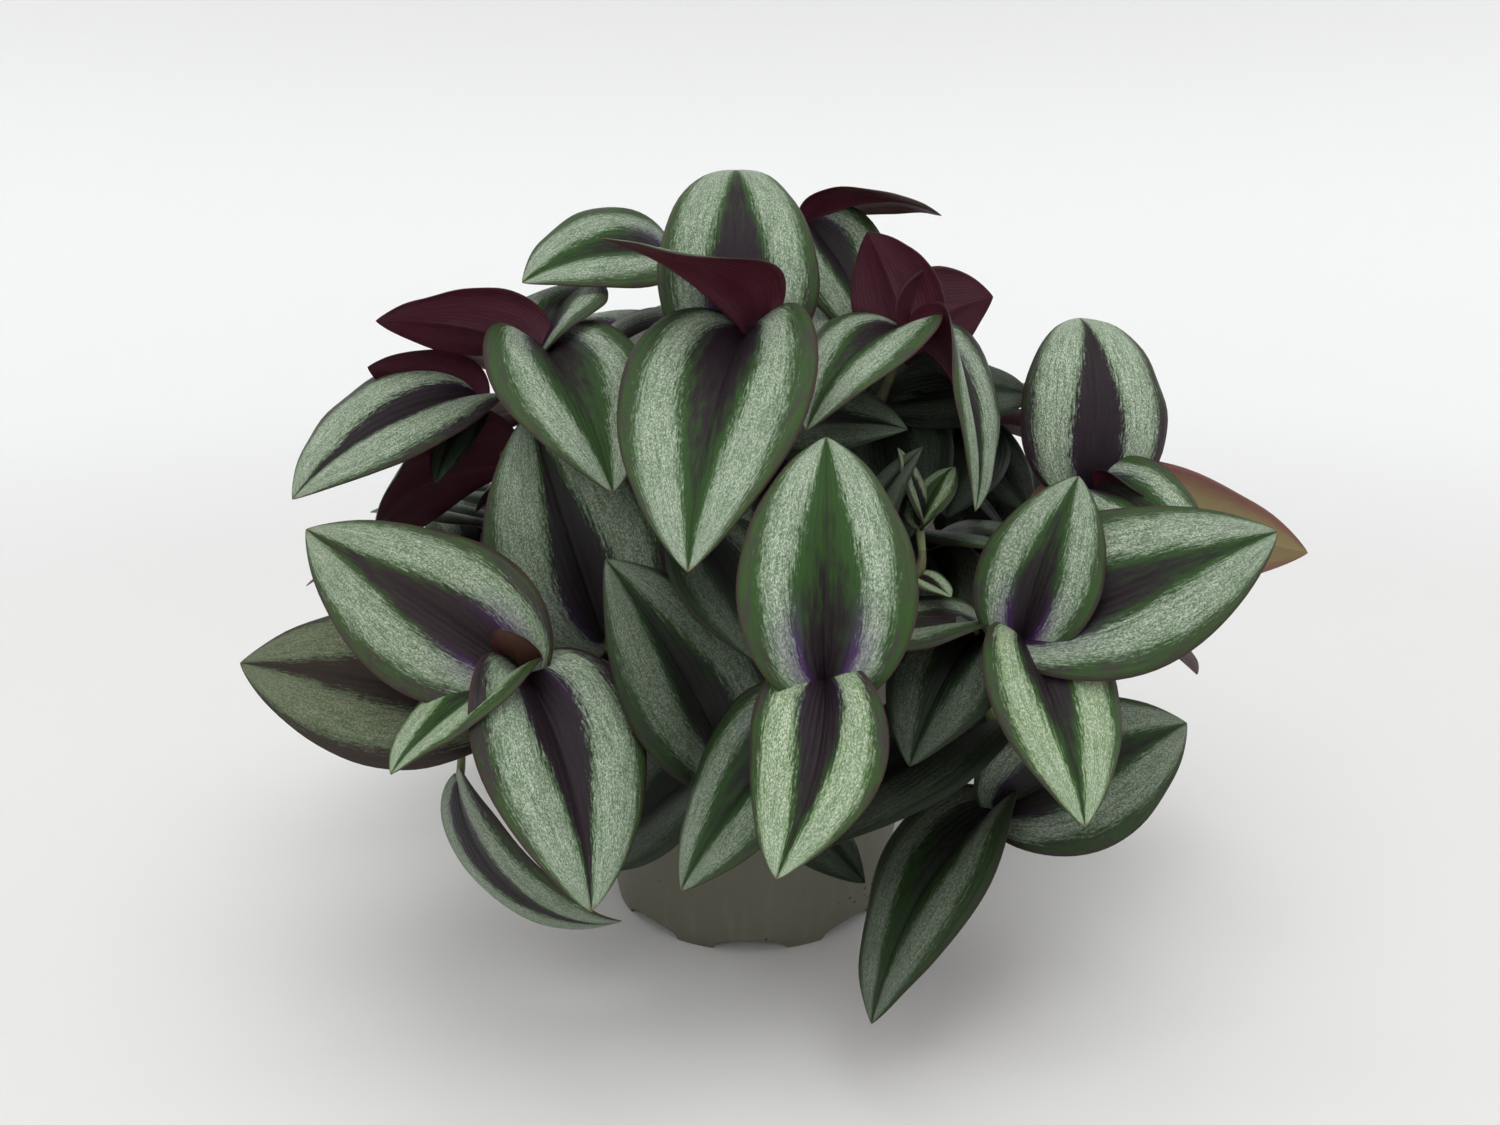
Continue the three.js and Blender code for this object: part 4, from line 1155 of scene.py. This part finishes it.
def make_soil(shoots):
    """The filling: a rough top with crumbs and a few pale grains, around the stems."""
    draw = draws_from(SOIL_SEED)
    edge, sides = soil_inside(SOIL_EDGE_TOP), SOIL_SIDES
    points = [(0, 0, soil_top(0, 0))]
    for i in range(1, SOIL_RINGS + 1):
        points += [(x, y, soil_top(x, y)) for x, y, _ in ring(edge * i / SOIL_RINGS, 0, sides)]
    faces = dome_faces(sides, SOIL_RINGS)
    last, bottom = 1 + (SOIL_RINGS - 1) * sides, FLOOR_TOP + GAP
    for height in (*BORE_RINGS, bottom + 1, bottom):
        start = len(points)
        points += ring(soil_inside(height) - (1 if height == bottom else 0), height, sides)
        faces += [(last + k, start + k, start + n, last + n) for k, n in around(sides)]
        last = start
    faces.append(tuple(last + k for k in range(sides))[::-1])
    kinds = [0] * len(faces)
    # crumbs: small rough lumps, a few of them pale grit
    lump, lump_faces = lump_shape()
    feet = [shoot["stem"][0] for shoot in shoots]
    for _ in range(CRUMBS):
        reach = (edge - CRUMB_EDGE) * sqrt(draw(0, 1))
        a = draw(0, CIRCLE)
        x, y = reach * cos(a), reach * sin(a)
        size = CRUMB_SIZE + CRUMB_GROWTH * draw(0, 1) ** 3
        pale = draw(0, 1) > GRIT_ABOVE
        if any(hypot(x - f[0], y - f[1]) < STEM_CLEARANCE + size for f in feet):
            continue
        middle = (x, y, soil_top(x, y) + CRUMB_RAISE * size)
        stretch = [draw(low, high) for low, high in CRUMB_STRETCH]
        start = len(points)
        for p in lump:
            wobble = 1 + draw(-CRUMB_WOBBLE, CRUMB_WOBBLE)
            points.append(tuple(c + size * s * q * wobble for c, s, q in zip(middle, stretch, p)))
        faces += [tuple(i + start for i in face) for face in lump_faces]
        kinds += [int(pale)] * len(lump_faces)
    materials = [soil_material("soil", *SOIL_LOOK), soil_material("soil_grit", *GRIT_LOOK)]
    return new_piece("soil_mix", points, faces, materials, kinds)


def make_backdrop():
    """A pale floor that curves up to a low wall all round, with painted light far out and painted
    shade up the wall.
    """
    profile = [(BACKDROP_FLAT * i / FLAT_RINGS, 0) for i in range(FLAT_RINGS + 1)]
    for i in range(1, CURVE_RINGS + 1):
        a = pi / 2 * i / CURVE_RINGS
        profile.append((BACKDROP_FLAT + BACKDROP_CURVE * sin(a),
                        BACKDROP_CURVE * (1 - cos(a))))
    profile.append((BACKDROP_FLAT + BACKDROP_CURVE, BACKDROP_HEIGHT))
    points = [(0, 0, 0)]
    for radius, height in profile[1:]:
        points += ring(radius, height, BACKDROP_SIDES)
    faces = dome_faces(BACKDROP_SIDES, len(profile) - 1)
    g = Graph("backdrop_paper")
    place = g.place()
    x, y, z = g.parts(place)
    reach = g.math("SQRT", g.plus(g.times(x, x), g.times(y, y)))
    near = g.mix(g.noise(place, 3.0), *PAPER_NEAR)
    # painted light further out, painted shade up the wall
    colour = g.mix(g.step(reach, *PAINTED_LIGHT_FADE), near, PAPER_FAR_PAINTED_LIGHT)
    colour = g.mix(g.step(z, *PAINTED_SHADE_FADE), colour, PAPER_HIGH_PAINTED_SHADE)
    paper = g.surface(colour, 0.8, 0.1)
    backdrop = new_piece("backdrop", np.array(points) / MM, faces, [paper])


def make_studio():
    world = bpy.data.worlds.new("studio")
    world.use_nodes = True
    background = world.node_tree.nodes["Background"]
    background.inputs[0].default_value = (*WORLD_COLOUR, 1)
    background.inputs[1].default_value = WORLD_LIGHT
    bpy.context.scene.world = world
    bpy.context.scene.view_settings.view_transform = "Standard"
    for name, place, size, power, colour in LIGHTS:
        light = bpy.data.lights.new(name, "AREA")
        light.shape = "SQUARE"
        light.size = size
        light.energy = power
        light.color = colour
        holder = show(name, light)
        holder.location = place
        toward = Vector(LIGHT_TARGET) - Vector(place)
        holder.rotation_euler = toward.to_track_quat("-Z", "Y").to_euler()


def make_camera():
    camera = show("camera", bpy.data.cameras.new("camera"))
    camera.data.lens = CAMERA_LENS
    camera.data.sensor_width = CAMERA_SENSOR
    camera.data.clip_start = CAMERA_NEAR
    camera.location = CAMERA_PLACE
    camera.rotation_euler = ((90 - CAMERA_TILT_DOWN) * DEGREE, 0, 0)
    bpy.context.scene.camera = camera


table = [{"name": name, "stem": stem, "leaves": leaves} for name, stem, leaves in SHOOTS]
shoots = grow(table + back_shoots())
looks = [upper_material(), under_material(), stem_material(), sheath_material()]
draw = draws_from(LOOKS_SEED)
for shoot in shoots:
    gather = Gather()
    add_stem(gather, shoot, draw)
    for leaf in shoot["grown"]:
        add_leaf(gather, leaf, draw)
    piece = gather.made("foliage_" + shoot["name"], looks)
    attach(piece, "root")
    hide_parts("shoot_" + shoot["name"])

pot = make_pot()
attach(pot, "root")
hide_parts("pot")
soil = make_soil(shoots)
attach(soil, "root")
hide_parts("soil")

make_backdrop()
make_studio()
make_camera()
